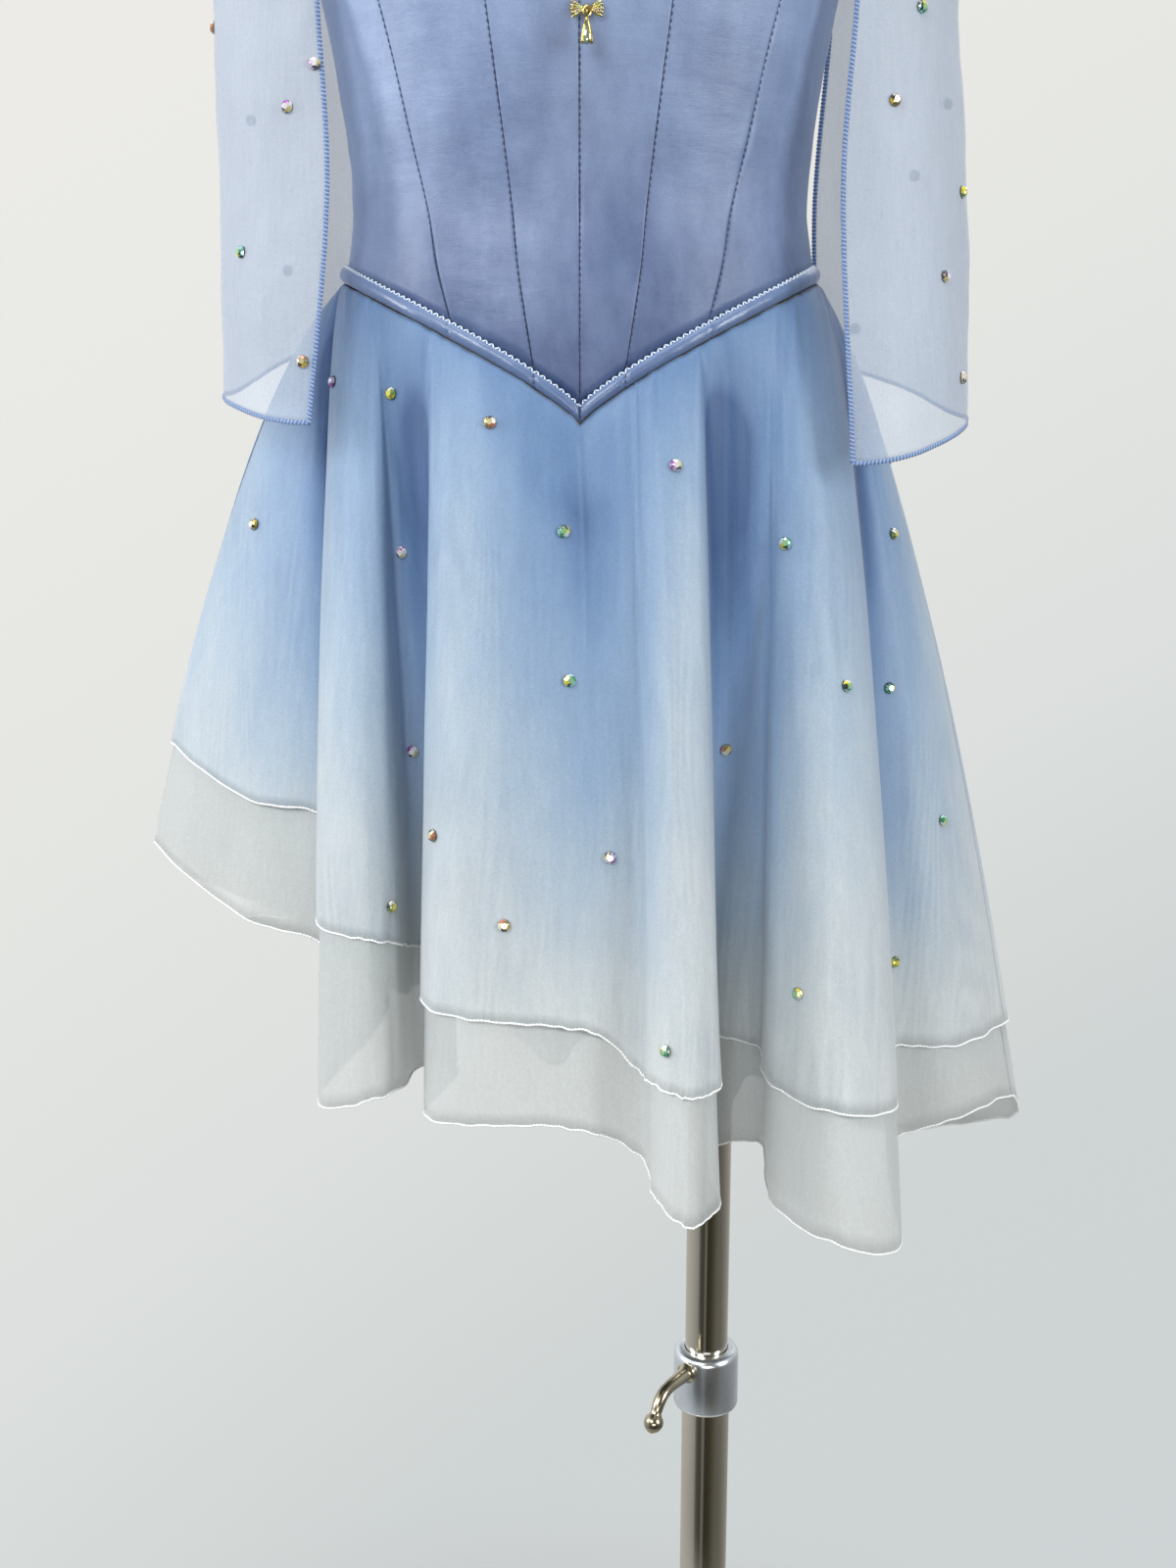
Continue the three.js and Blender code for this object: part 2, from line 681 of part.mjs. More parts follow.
function form() {
  const heights = TORSO.slice(0, -1).flatMap(([z, width], i) => {
    const [nextZ, nextWidth] = TORSO[i + 1];
    const steps = Math.ceil(Math.max((nextZ - z) / FORM_STEP_UP, Math.abs(nextWidth - width) / FORM_STEP_IN));
    return Array.from({ length: steps }, (_, k) => lerp(z, nextZ, k / steps));
  });
  heights.push(FORM_TOP_Z);
  const sections = heights.map((z) => {
    const inset = z < SHOULDER_REST_Z ? FORM_INSET : SHOULDER_INSET;
    const end = z === FORM_BOTTOM_Z || z === FORM_TOP_Z;
    return Array.from({ length: FORM_SIDES }, (_, i) => {
      const angle = (i * 360) / FORM_SIDES;
      return end ? sectionPoint(angle, z) : torsoPoint(angle, z, -inset);
    });
  });
  return loft("form", sections, FORM_WHITE, 0.6, 0);
}

function tube(name, radius, wall, bottom, top) {
  const inner = radius - wall;
  const profile = [
    [inner, bottom],
    [radius, bottom],
    [radius, top],
    [inner, top],
  ];
  return turned(name, profile, POLE_X, TUBE_SIDES, CHROME, 0.15, 1);
}

function stand() {
  const bore = LOWER_TUBE_RADIUS + TUBE_GAP;
  const slide = UPPER_TUBE_RADIUS + TUBE_GAP;
  const flangeBottom = FORM_BOTTOM_Z - SEAM_GAP - FLANGE_HEIGHT;
  const lowerWall = LOWER_TUBE_RADIUS - UPPER_TUBE_RADIUS - TUBE_GAP;
  const tubeFoot = BASE_THICKNESS + TUBE_GAP;
  const lipZ = COLLAR_TOP_Z - COLLAR_LIP;
  const upperTubeTop = flangeBottom + FLANGE_SOCKET - TUBE_GAP;
  const plate = [
    [0, 0],
    [BASE_RADIUS - BASE_EDGE, 0],
    [BASE_RADIUS, BASE_EDGE],
    [BASE_RADIUS, BASE_THICKNESS - BASE_BEVEL],
    [BASE_RADIUS - BASE_BEVEL, BASE_THICKNESS],
    [0, BASE_THICKNESS],
  ];
  const socket = [
    [bore, tubeFoot],
    [SOCKET_RADIUS, tubeFoot],
    [SOCKET_RADIUS, SOCKET_TOP_Z - SOCKET_BEVEL],
    [SOCKET_RADIUS - SOCKET_BEVEL, SOCKET_TOP_Z],
    [bore, SOCKET_TOP_Z],
  ];
  const collar = [
    [bore, COLLAR_BOTTOM_Z],
    [COLLAR_RADIUS - COLLAR_BEVEL, COLLAR_BOTTOM_Z],
    [COLLAR_RADIUS, COLLAR_BOTTOM_Z + COLLAR_BEVEL],
    [COLLAR_RADIUS, COLLAR_TOP_Z - COLLAR_SHOULDER],
    [COLLAR_RADIUS - COLLAR_SHOULDER, COLLAR_TOP_Z],
    [slide, COLLAR_TOP_Z],
    [slide, lipZ],
    [bore, lipZ],
  ];
  const flange = [
    [0, flangeBottom + FLANGE_SOCKET],
    [slide, flangeBottom + FLANGE_SOCKET],
    [slide, flangeBottom],
    [FLANGE_RADIUS - FLANGE_BEVEL, flangeBottom],
    [FLANGE_RADIUS, flangeBottom + FLANGE_BEVEL],
    [FLANGE_RADIUS, FORM_BOTTOM_Z - SEAM_GAP],
    [0, FORM_BOTTOM_Z - SEAM_GAP],
  ];
  return [
    turned("base_plate", plate, 0, BASE_SEGMENTS, CHROME, 0.25, 1),
    turned("base_socket", socket, POLE_X, TUBE_SIDES, CHROME, 0.15, 1),
    tube("lower_tube", LOWER_TUBE_RADIUS, lowerWall, tubeFoot, lipZ - TUBE_GAP),
    turned("clamp_collar", collar, POLE_X, TUBE_SIDES, CHROME, 0.15, 1),
    tube("upper_tube", UPPER_TUBE_RADIUS, TUBE_WALL, UPPER_TUBE_END_Z, upperTubeTop),
    turned("form_flange", flange, POLE_X, TUBE_SIDES, CHROME, 0.15, 1),
  ];
}

function clampLever() {
  const across = new THREE.Vector3(0, 0, 1).cross(LEVER_DIRECTION);
  const rows = LEVER.map((row) => named(row, LEVER_COLUMNS));
  const sections = rows.map((row, i) => {
    const before = rows[Math.max(i - 1, 0)];
    const after = rows[Math.min(i + 1, rows.length - 1)];
    const slope = Math.atan2(after.height - before.height, after.reach - before.reach);
    const up = new THREE.Vector3(0, 0, Math.cos(slope)).addScaledVector(LEVER_DIRECTION, -Math.sin(slope));
    const centre = new THREE.Vector3(POLE_X, 0, LEVER_Z + row.height);
    centre.addScaledVector(LEVER_DIRECTION, row.reach);
    return Array.from({ length: LEVER_SIDES }, (_, k) => {
      const turn = (k * 2 * Math.PI) / LEVER_SIDES;
      return centre
        .clone()
        .addScaledVector(across, row.radius * Math.cos(turn))
        .addScaledVector(up, row.radius * Math.sin(turn));
    });
  });
  return loft("clamp_lever", sections, GOLD, 0.3, 1);
}

// The bow's outline from its middle over the right wing and back, then the same over the left one
function bowOutline() {
  const outline = new THREE.Shape();
  outline.moveTo(0, BOW_TOP);
  let end = [0, BOW_TOP];
  const points = BOW_CURVES.map(([ax, ay, bx, by, x, y]) => {
    outline.bezierCurveTo(ax, ay, bx, by, x, y);
    const back = [-bx, by, -ax, ay, -end[0], end[1]];
    end = [x, y];
    return back;
  });
  for (const curve of points.reverse()) outline.bezierCurveTo(...curve);
  return outline;
}

function brooch() {
  const settings = { depth: BOW_THICKNESS, bevelEnabled: false, curveSegments: BOW_CURVE_STEPS };
  const plate = new THREE.ExtrudeGeometry(bowOutline(), settings).rotateX(Math.PI / 2);
  const peg = new THREE.CylinderGeometry(PEG_RADIUS, PEG_RADIUS, PEG_LENGTH + PEG_ROOT, BROOCH_SIDES);
  peg.translate(0, -BOW_THICKNESS - (PEG_LENGTH - PEG_ROOT) / 2, -PEG_DROP);
  const back = torsoPoint(0, BROOCH_Z + BOW_REST_UP, BODICE_FACE + SEAM_GAP).y;
  const bow = materialMesh("brooch_bow", joined(plate, peg), GOLD, 0.3, 1);
  bow.position.set(BROOCH_X, back, BROOCH_Z);

  const ring = new THREE.TorusGeometry(RING_RADIUS, RING_WIRE, 6, 14).rotateX(Math.PI / 2);
  const pear = PEAR.map(([radius, z]) => new THREE.Vector2(radius, z));
  const body = new THREE.LatheGeometry(pear, BROOCH_SIDES).rotateX(Math.PI / 2);
  body.translate(0, 0, -RING_RADIUS);
  const drop = materialMesh("brooch_drop", joined(ring, body), GOLD, 0.3, 1);
  drop.position.set(BROOCH_X, back - BOW_THICKNESS - DROP_OUT, BROOCH_Z - PEG_DROP);
  return [bow, drop];
}

const root = new THREE.Group();
root.add(
  ...bodice(),
  ...waistBand(),
  ...skirt(),
  sleeve("sleeve_left", 1, SLEEVE_LEFT_ARM),
  sleeve("sleeve_right", -1, SLEEVE_RIGHT_ARM),
  ...brooch(),
  form(),
  ...stand(),
  clampLever(),
);

export default root;
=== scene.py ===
# %% [markdown]
# A lyrical dance dress stands on a limbless torso form and a chrome pole stand.
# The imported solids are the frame: every piece below takes the place of one of them, at its real size in metres.
# The cloth comes from the same measured tables that gave the solids, so a finer mesh lies exactly where they do.

# %% Load the frame
import math

import bpy
import numpy as np
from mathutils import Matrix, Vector, noise


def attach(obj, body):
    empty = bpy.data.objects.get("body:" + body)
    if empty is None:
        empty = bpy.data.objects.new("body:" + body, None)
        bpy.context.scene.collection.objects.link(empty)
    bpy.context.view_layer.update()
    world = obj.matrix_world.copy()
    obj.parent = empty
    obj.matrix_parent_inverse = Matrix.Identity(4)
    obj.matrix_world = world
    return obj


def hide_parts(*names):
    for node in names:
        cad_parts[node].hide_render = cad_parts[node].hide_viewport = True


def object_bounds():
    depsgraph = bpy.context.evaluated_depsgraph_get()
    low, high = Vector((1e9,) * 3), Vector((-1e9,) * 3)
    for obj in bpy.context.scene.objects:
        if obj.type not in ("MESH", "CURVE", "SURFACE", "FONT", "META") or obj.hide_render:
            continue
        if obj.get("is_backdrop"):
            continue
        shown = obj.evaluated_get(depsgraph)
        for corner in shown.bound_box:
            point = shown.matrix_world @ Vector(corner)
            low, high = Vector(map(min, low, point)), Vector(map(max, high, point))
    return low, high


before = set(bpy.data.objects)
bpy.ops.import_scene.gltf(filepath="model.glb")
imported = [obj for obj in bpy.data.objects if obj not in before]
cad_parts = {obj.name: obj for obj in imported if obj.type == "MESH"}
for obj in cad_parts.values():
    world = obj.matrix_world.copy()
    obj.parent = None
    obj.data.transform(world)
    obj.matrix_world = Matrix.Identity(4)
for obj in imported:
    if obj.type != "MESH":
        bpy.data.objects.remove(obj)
cad_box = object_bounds()
MM = 0.001
print("solids in the frame:", len(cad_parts))

# %% [markdown]
# The photograph looks 13 degrees down from just under a metre away, at the height of the waist.
# The camera is made first, so that each piece can be judged from it.

# %% Camera
bpy.ops.object.camera_add(location=(0.004, -0.970, 0.959), rotation=(math.radians(77), 0, 0))
camera = bpy.context.object
camera.name = "photo_camera"
camera.data.lens = 41.6
bpy.context.scene.camera = camera
print("camera lens", camera.data.lens, "mm")

# %% [markdown]
# Cloth is drawn on the torso by two numbers, the angle round the body and the height.
# The tables give the body and the seams at a few heights, and a smooth curve runs through their rows.

# %% Tables of the body and the seams
SEAM_GAP = 0.3
SEAM_HALF_ANGLE = 0.09
SIDE_HALF_ANGLE = 0.2
SATIN_WALL = 1.5
SHEER_WALL = 0.5
FORM_CLEARANCE = 0.5
BODICE_FACE = FORM_CLEARANCE + SATIN_WALL
WAIST_Z = 1000
POINT_DIP = 68
POINT_POWER = 0.83
BAND_HEIGHT = 8.5
# z, half width, depth in front of the side seams, depth behind them
TORSO = [
    (820, 97, 70, 72), (824, 101, 74, 76), (835, 105, 77, 79), (870, 108, 82, 84), (920, 113, 88, 90),
    (960, 117, 91, 93), (1000, 118, 90, 92), (1034, 113.5, 86, 88), (1080, 117, 92, 90), (1137, 127, 102, 95),
    (1190, 138, 113, 100), (1230, 144, 112, 103), (1280, 148, 98, 102), (1330, 152, 84, 96), (1370, 152, 66, 82),
    (1400, 140, 52, 64), (1425, 92, 48, 54), (1445, 58, 49, 53), (1465, 54, 49, 52), (1496, 53, 50, 50),
    (1502, 50, 47, 47), (1504, 44, 41, 41),
]
# z, angle from the centre front
CENTRE_FRONT = [(930, 0), (1262, 0)]
INNER_SEAM = [(953, 10.3), (1040, 16.4), (1120, 19.8), (1200, 21.5), (1272, 22)]
OUTER_SEAM = [(980, 31), (1058, 42.3), (1120, 47.3), (1170, 51.5), (1215, 57)]
SIDE_SEAM = [(1000, 90), (1137, 90)]
BACK_ARM_EDGE = [(1000, 90), (1070, 90), (1130, 90), (1137, 90.6), (1150, 97), (1180, 113), (1215, 123)]
CENTRE_BACK = [(1000, 180), (1290, 180)]
LOWER_ARMHOLE = [(1165, 64), (1180, 60.5), (1215, 57), (1272, 56)]
STRAP_COLUMNS = {"neckFront": 1, "armFront": 2, "neckBack": 3, "armBack": 4}
STRAP = [
    (1215, 22, 57, 180, 123), (1272, 22, 56, 180, 124), (1300, 31, 56, 166, 124), (1340, 34, 57, 146, 122),
    (1375, 37, 61, 142, 118), (1396, 42, 74, 138, 105), (1400, 42.5, 90, 137.5, 90),
]
STRAP_SHARE = 4 / 9
STRAP_EASE = 1.7
SHOULDER_TURN = 2.6
SHOULDER_OUTER_Z = 1400
SHOULDER_INNER_Z = 1424
NECK_CENTRE_Z = 1262
NECK_CORNER_Z = 1272
BACK_NECK_Z = 1290
ARMHOLE_BOTTOM_Z = 1137
ARMHOLE_CORNER_Z = 1215
ARMHOLE_SCOOP = 36
SCOOP_PEAK = 27 / 4


# %% Reading a table, and a point out from the torso
def rows_at(table, keys):
    """The table's columns at each key, on a smooth curve through its rows."""
    rows = np.asarray(table, float)
    heights = rows[:, 0]
    keys = np.clip(np.asarray(keys, float), heights[0], heights[-1])
    i = np.clip(np.searchsorted(heights, keys) - 1, 0, len(rows) - 2)
    before = np.maximum(np.arange(len(rows)) - 1, 0)
    after = np.minimum(np.arange(len(rows)) + 1, len(rows) - 1)
    slopes = (rows[after] - rows[before]) / (heights[after] - heights[before])[:, None]
    step = (heights[i + 1] - heights[i])[..., None]
    s = ((keys - heights[i])[..., None]) / step
    start, end = rows[i], rows[i + 1]
    ends = start * (2 * s**3 - 3 * s**2 + 1) + end * (3 * s**2 - 2 * s**3)
    return ends + slopes[i] * step * (s**3 - 2 * s**2 + s) + slopes[i + 1] * step * (s**3 - s**2)


def section_points(angle, z):
    """Points of the bare torso, in millimetres, at these angles and heights."""
    angle, z = np.broadcast_arrays(np.asarray(angle, float), np.asarray(z, float))
    row = rows_at(TORSO, z)
    turn = np.radians(angle)
    depth = np.where(np.cos(turn) > 0, row[..., 2], row[..., 3])
    return np.stack([row[..., 1] * np.sin(turn), -depth * np.cos(turn), z], -1)


def unit(vectors):
    return vectors / np.maximum(np.linalg.norm(vectors, axis=-1, keepdims=True), 1e-9)


def torso_points(angle, z, out):
    """Points at a distance out from the torso, along its normal."""
    angle, z = np.asarray(angle, float), np.asarray(z, float)
    along = section_points(angle + 0.5, z) - section_points(angle - 0.5, z)
    up = section_points(angle, z + 0.5) - section_points(angle, z - 0.5)
    return section_points(angle, z) + unit(np.cross(along, up)) * np.asarray(out, float)[..., None]


def band_lower(angle):
    turn = np.radians(angle)
    sine = np.where(np.cos(turn) > 0, np.abs(np.sin(turn)), 1.0)
    return WAIST_Z - POINT_DIP * (1 - sine**POINT_POWER)


def band_foot(angle):
    return band_lower(angle) + BAND_HEIGHT + SEAM_GAP


print("waist", round(2 * float(rows_at(TORSO, [1034])[0][1])), "mm wide")


# %% [markdown]
# A cloth wall is a thin closed shell. Its outer and inner faces are two grids of points, joined round the rim.
# The grids are made with array maths, because a cloth has tens of thousands of points.
# Each shell gets a UV map in which U runs round the cloth and V up it, and its finish reads that.


# %% Shells, meshes and normals
def lonely():
    """Deselects everything, so that an operator acts only on what is picked next."""
    if bpy.context.object and bpy.context.object.mode != "OBJECT":
        bpy.ops.object.mode_set(mode="OBJECT")
    bpy.ops.object.select_all(action="DESELECT")


def chosen(piece):
    """Leaves this piece alone selected and active."""
    lonely()
    piece.select_set(True)
    bpy.context.view_layer.objects.active = piece


def closed_and_outward(close=0.0):
    """Merges the points of the active piece that lie closer than this, and turns its faces outwards."""
    bpy.ops.object.mode_set(mode="EDIT")
    bpy.ops.mesh.select_all(action="SELECT")
    if close:
        bpy.ops.mesh.remove_doubles(threshold=close)
    bpy.ops.mesh.normals_make_consistent(inside=False)
    bpy.ops.object.mode_set(mode="OBJECT")


def spun(name, outline, closed, steps):
    """A piece turned from an outline of radii and heights, in millimetres, round its own axis."""
    count = len(outline)
    edges = [(k, (k + 1) % count) for k in range(count if closed else count - 1)]
    mesh = bpy.data.meshes.new(name)
    mesh.from_pydata([(r * MM, 0, z * MM) for r, z in outline], edges, [])
    piece = bpy.data.objects.new(name, mesh)
    bpy.context.scene.collection.objects.link(piece)
    chosen(piece)
    bpy.ops.object.mode_set(mode="EDIT")
    bpy.ops.mesh.select_all(action="SELECT")
    bpy.ops.mesh.spin(steps=steps, angle=2 * math.pi, center=(0, 0, 0), axis=(0, 0, 1))
    bpy.ops.object.mode_set(mode="OBJECT")
    closed_and_outward(0.00001)
    return piece


def new_mesh(name, points, faces, smooth=True):
    mesh = bpy.data.meshes.new(name)
    mesh.from_pydata([tuple(p) for p in np.asarray(points, float) * MM], [], faces)
    mesh.polygons.foreach_set("use_smooth", [smooth] * len(mesh.polygons))
    mesh.update()
    piece = bpy.data.objects.new(name, mesh)
    bpy.context.scene.collection.objects.link(piece)
    return piece


def grid_normals(grid):
    """Outward normals of a grid whose rows run up and whose columns run anticlockwise seen from above."""
    along = np.gradient(grid, axis=1)
    up = np.gradient(grid, axis=0)
    return unit(np.cross(along, up))


def shell(name, outer, inner, uv):
    """A closed thin shell between an outer and an inner grid of points."""
    rows, columns = outer.shape[:2]
    count = rows * columns
    k = (np.arange(rows - 1)[:, None] * columns + np.arange(columns - 1)).ravel()
    faces = np.concatenate([
        np.stack([k, k + 1, k + columns + 1, k + columns], 1),
        np.stack([k, k + columns, k + columns + 1, k + 1], 1) + count,
    ])
    i = np.arange(columns - 1)
    top = (rows - 1) * columns + i
    j = np.arange(rows - 1) * columns
    end = j + columns - 1
    rims = [
        np.stack([count + i, count + i + 1, i + 1, i], 1),
        np.stack([top, top + 1, count + top + 1, count + top], 1),
        np.stack([count + j, j, j + columns, count + j + columns], 1),
        np.stack([count + end, count + end + columns, end + columns, end], 1),
    ]
    faces = np.concatenate([faces, *rims])
    points = np.concatenate([outer.reshape(-1, 3), inner.reshape(-1, 3)])
    piece = new_mesh(name, points, faces.tolist())
    layer = piece.data.uv_layers.new(name="cloth")
    corners = np.zeros(len(piece.data.loops), int)
    piece.data.loops.foreach_get("vertex_index", corners)
    layer.data.foreach_set("uv", np.tile(uv.reshape(-1, 2), (2, 1))[corners].ravel())
    return piece


def tube_faces(count, sides, turned=False):
    """Faces of a closed tube of rings of points, or the same faces turned round to look the other way."""
    k = (np.arange(count - 1)[:, None] * sides + np.arange(sides)).ravel()
    after = (np.arange(count - 1)[:, None] * sides + (np.arange(sides) + 1) % sides).ravel()
    walls = np.stack([k, after, after + sides, k + sides], 1)[:, [0, 3, 2, 1] if turned else [0, 1, 2, 3]]
    ends = [list(range(sides))[::-1], list(range((count - 1) * sides, count * sides))]
    return walls.tolist() + [end[::-1] if turned else end for end in ends]


def placed(piece, finish, body="dressed_form", solid=None):
    """Gives a piece its finish and slot, the body it moves with, and the solid that it stands for."""
    piece.data.materials.clear()
    piece.data.materials.append(finish)
    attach(piece, body)
    if solid:
        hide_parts(solid)
    return piece


def uneven(points, size, seed):
    """Smooth noise from -1 to 1 at each point, with lumps of about this size."""
    flat = np.asarray(points, float).reshape(-1, 3) / size + seed
    return np.array([noise.noise(Vector(p)) for p in flat]).reshape(np.shape(points)[:-1])


print("cloth walls:", SATIN_WALL, "mm satin and", SHEER_WALL, "mm sheer")

# %% [markdown]
# Materials are node-based, and each one starts from the same plain group of steps.
# Fabric colour comes from its UV map or its place on the piece, and the weave is a fine bump.


# %% A helper that builds materials
def set_sockets(shader, **values):
    for name, value in values.items():
        shader.inputs[name.replace("_", " ")].default_value = value


class Finish:
    """A new material with short words for its nodes."""

    def __init__(self, name):
        self.material = bpy.data.materials.new(name)
        self.material.use_nodes = True
        self.tree = self.material.node_tree
        self.shader = self.tree.nodes["Principled BSDF"]

    def node(self, kind, **settings):
        made = self.tree.nodes.new(kind)
        for key, value in settings.items():
            if key in made.inputs:
                made.inputs[key].default_value = value
            else:
                setattr(made, key, value)
        return made

    def link(self, source, target):
        self.tree.links.new(source, target)

    def paint(self, **sources):
        """Links sources to the shader's sockets of these names."""
        for name, source in sources.items():
            self.link(source, self.shader.inputs[name.replace("_", " ")])

    def added(self, *values):
        total = values[0]
        for value in values[1:]:
            total = self.maths("ADD", total, value)
        return total

    def place(self, kind, scale=(1, 1, 1), turn=(0, 0, 0)):
        """Coordinates of a kind, Object or UV, stretched and turned."""
        coordinates = self.node("ShaderNodeTexCoord")
        mapping = self.node("ShaderNodeMapping", Scale=scale, Rotation=turn)
        self.link(coordinates.outputs[kind], mapping.inputs["Vector"])
        return mapping.outputs["Vector"]

    def noise(self, place, scale, detail=3, roughness=0.5, distortion=0):
        made = self.node("ShaderNodeTexNoise", Scale=scale, Detail=detail, Roughness=roughness, Distortion=distortion)
        self.link(place, made.inputs["Vector"])
        return made.outputs["Fac"]

    def axis(self, kind, letter):
        """One coordinate, of a kind that place knows."""
        split = self.node("ShaderNodeSeparateXYZ")
        self.link(self.place(kind), split.inputs[0])
        return split.outputs[letter]

    def grained(self, colour, source, deepest):
        """A colour darkened a little in the grain that a noise gives."""
        return self.mixed(1.0, colour, self.ramp(source, [(0.3, (deepest,) * 3), (0.7, (1, 1, 1))]), "MULTIPLY")

    def ramp(self, source, stops, smooth=False):
        made = self.node("ShaderNodeValToRGB")
        if smooth:
            made.color_ramp.interpolation = "EASE"
        stop_list = made.color_ramp.elements
        while len(stop_list) < len(stops):
            stop_list.new(0.5)
        for stop, (position, colour) in zip(stop_list, stops):
            stop.position = position
            stop.color = (*colour, 1) if len(colour) == 3 else colour
        self.link(source, made.inputs["Fac"])
        return made.outputs["Color"]

    def mixed(self, amount, a, b, blend="MIX"):
        made = self.tree.nodes.new("ShaderNodeMix")
        made.data_type = "RGBA"
        made.blend_type = blend
        for socket, value in ((made.inputs["Factor"], amount), (made.inputs["A"], a), (made.inputs["B"], b)):
            if isinstance(value, bpy.types.NodeSocket):
                self.link(value, socket)
            else:
                socket.default_value = value if not isinstance(value, tuple) else (*value, 1)
        return made.outputs["Result"]

    def spread(self, source, low, high, start=0.0, end=1.0):
        """A value between start and end brought to a range from low to high."""
        made = self.node("ShaderNodeMapRange")
        for socket, value in (("From Min", start), ("From Max", end), ("To Min", low), ("To Max", high)):
            made.inputs[socket].default_value = value
        self.link(source, made.inputs["Value"])
        return made.outputs["Result"]

    def maths(self, operation, a, b):
        made = self.node("ShaderNodeMath", operation=operation)
        for value, socket in zip((a, b), made.inputs):
            if isinstance(value, bpy.types.NodeSocket):
                self.link(value, socket)
            else:
                socket.default_value = value
        return made.outputs[0]

    def bumps(self, *heights):
        """Bump from several heights, each given as a source and its depth in metres."""
        normal = None
        for source, depth in heights:
            bump = self.node("ShaderNodeBump", Distance=depth)
            self.link(source, bump.inputs["Height"])
            if normal:
                self.link(normal, bump.inputs["Normal"])
            normal = bump.outputs["Normal"]
        self.link(normal, self.shader.inputs["Normal"])


def srgb(red, green, blue):
    """A colour given as it looks on a screen, 0 to 255, as the linear colour that a shader takes."""
    return tuple(((c / 255 + 0.055) / 1.055) ** 2.4 if c > 10 else c / 3294.6 for c in (red, green, blue))


# %% Satin
def satin_finish(name, dark, light, sheen, shine, rise):
    """Satin in clouds of two tones. Rise is how much painted light lightens it towards the shoulders and at the
    flanks.
    """
    cloth = Finish(name)
    broad = cloth.noise(cloth.place("Object"), 9, detail=3, roughness=0.55)
    cloud = cloth.noise(cloth.place("Object", scale=(1, 1, 0.45)), 26, detail=4)
    bloom = cloth.noise(cloth.place("Object", scale=(1, 1, 0.5)), 80, detail=5, roughness=0.6)
    # Painted light: the satin is made lighter higher up and at both flanks, where the light falls on it.
    painted_light_from_above = cloth.spread(cloth.axis("Object", "Z"), -rise, rise, 0.91, 1.15)
    painted_light_at_flanks = cloth.spread(cloth.maths("ABSOLUTE", cloth.axis("Object", "X"), 0), 0, 0.5 * rise, 0.07, 0.13)
    spots = cloth.spread(bloom, -0.05, 0.09, 0.35, 0.75)
    tone_and_painted_light = cloth.added(cloth.mixed(0.5, broad, cloud), painted_light_from_above, painted_light_at_flanks, spots)
    specks = cloth.noise(cloth.place("Object"), 1300, detail=2)
    colour = cloth.grained(cloth.ramp(tone_and_painted_light, [(0.22, dark), (0.9, light)]), specks, 0.86)
    cloth.paint(Base_Color=colour, Roughness=cloth.spread(cloud, *shine))
    weave = cloth.noise(cloth.place("Object", scale=(260, 260, 2600)), 1, detail=2)
    thread = cloth.noise(cloth.place("Object", scale=(2600, 2600, 320)), 1, detail=2)
    pucker = cloth.noise(cloth.place("Object", scale=(0.5, 0.5, 1.4)), 48, detail=3)
    cloth.bumps((pucker, 0.0009), (weave, 0.00009), (thread, 0.00006))
    set_sockets(cloth.shader, Sheen_Weight=sheen, Sheen_Roughness=0.4, Specular_IOR_Level=0.7)
    cloth.shader.inputs["Sheen Tint"].default_value = (0.75, 0.85, 1, 1)
    return cloth.material


# rise sets the painted light on the satin towards the shoulders and at the flanks.
bodice_satin = satin_finish(
    "bodice_satin", srgb(48, 70, 116), srgb(142, 163, 201), sheen=0.2, shine=(0.4, 0.56), rise=0.31
)
band_satin = satin_finish(
    "band_satin", srgb(74, 96, 139), srgb(126, 148, 186), sheen=0.25, shine=(0.2, 0.32), rise=0.02
)
print("satin finishes:", bodice_satin.name, band_satin.name)


# %% Sheer cloths
DYE_HEIGHTS = (0.62, 1.0)
DYE_REACH = 1.25
# Shares of the painted fold shade: how much the crests are lightened, and how much more the deepest hollows are
# darkened, up to this fold value.
PAINTED_CREST_LIGHT_SHARE = 0.8
PAINTED_HOLLOW_SHADE_SHARE = 0.6
PAINTED_HOLLOW_SHADE_END = 0.32
MOIRE_RINGS = 190


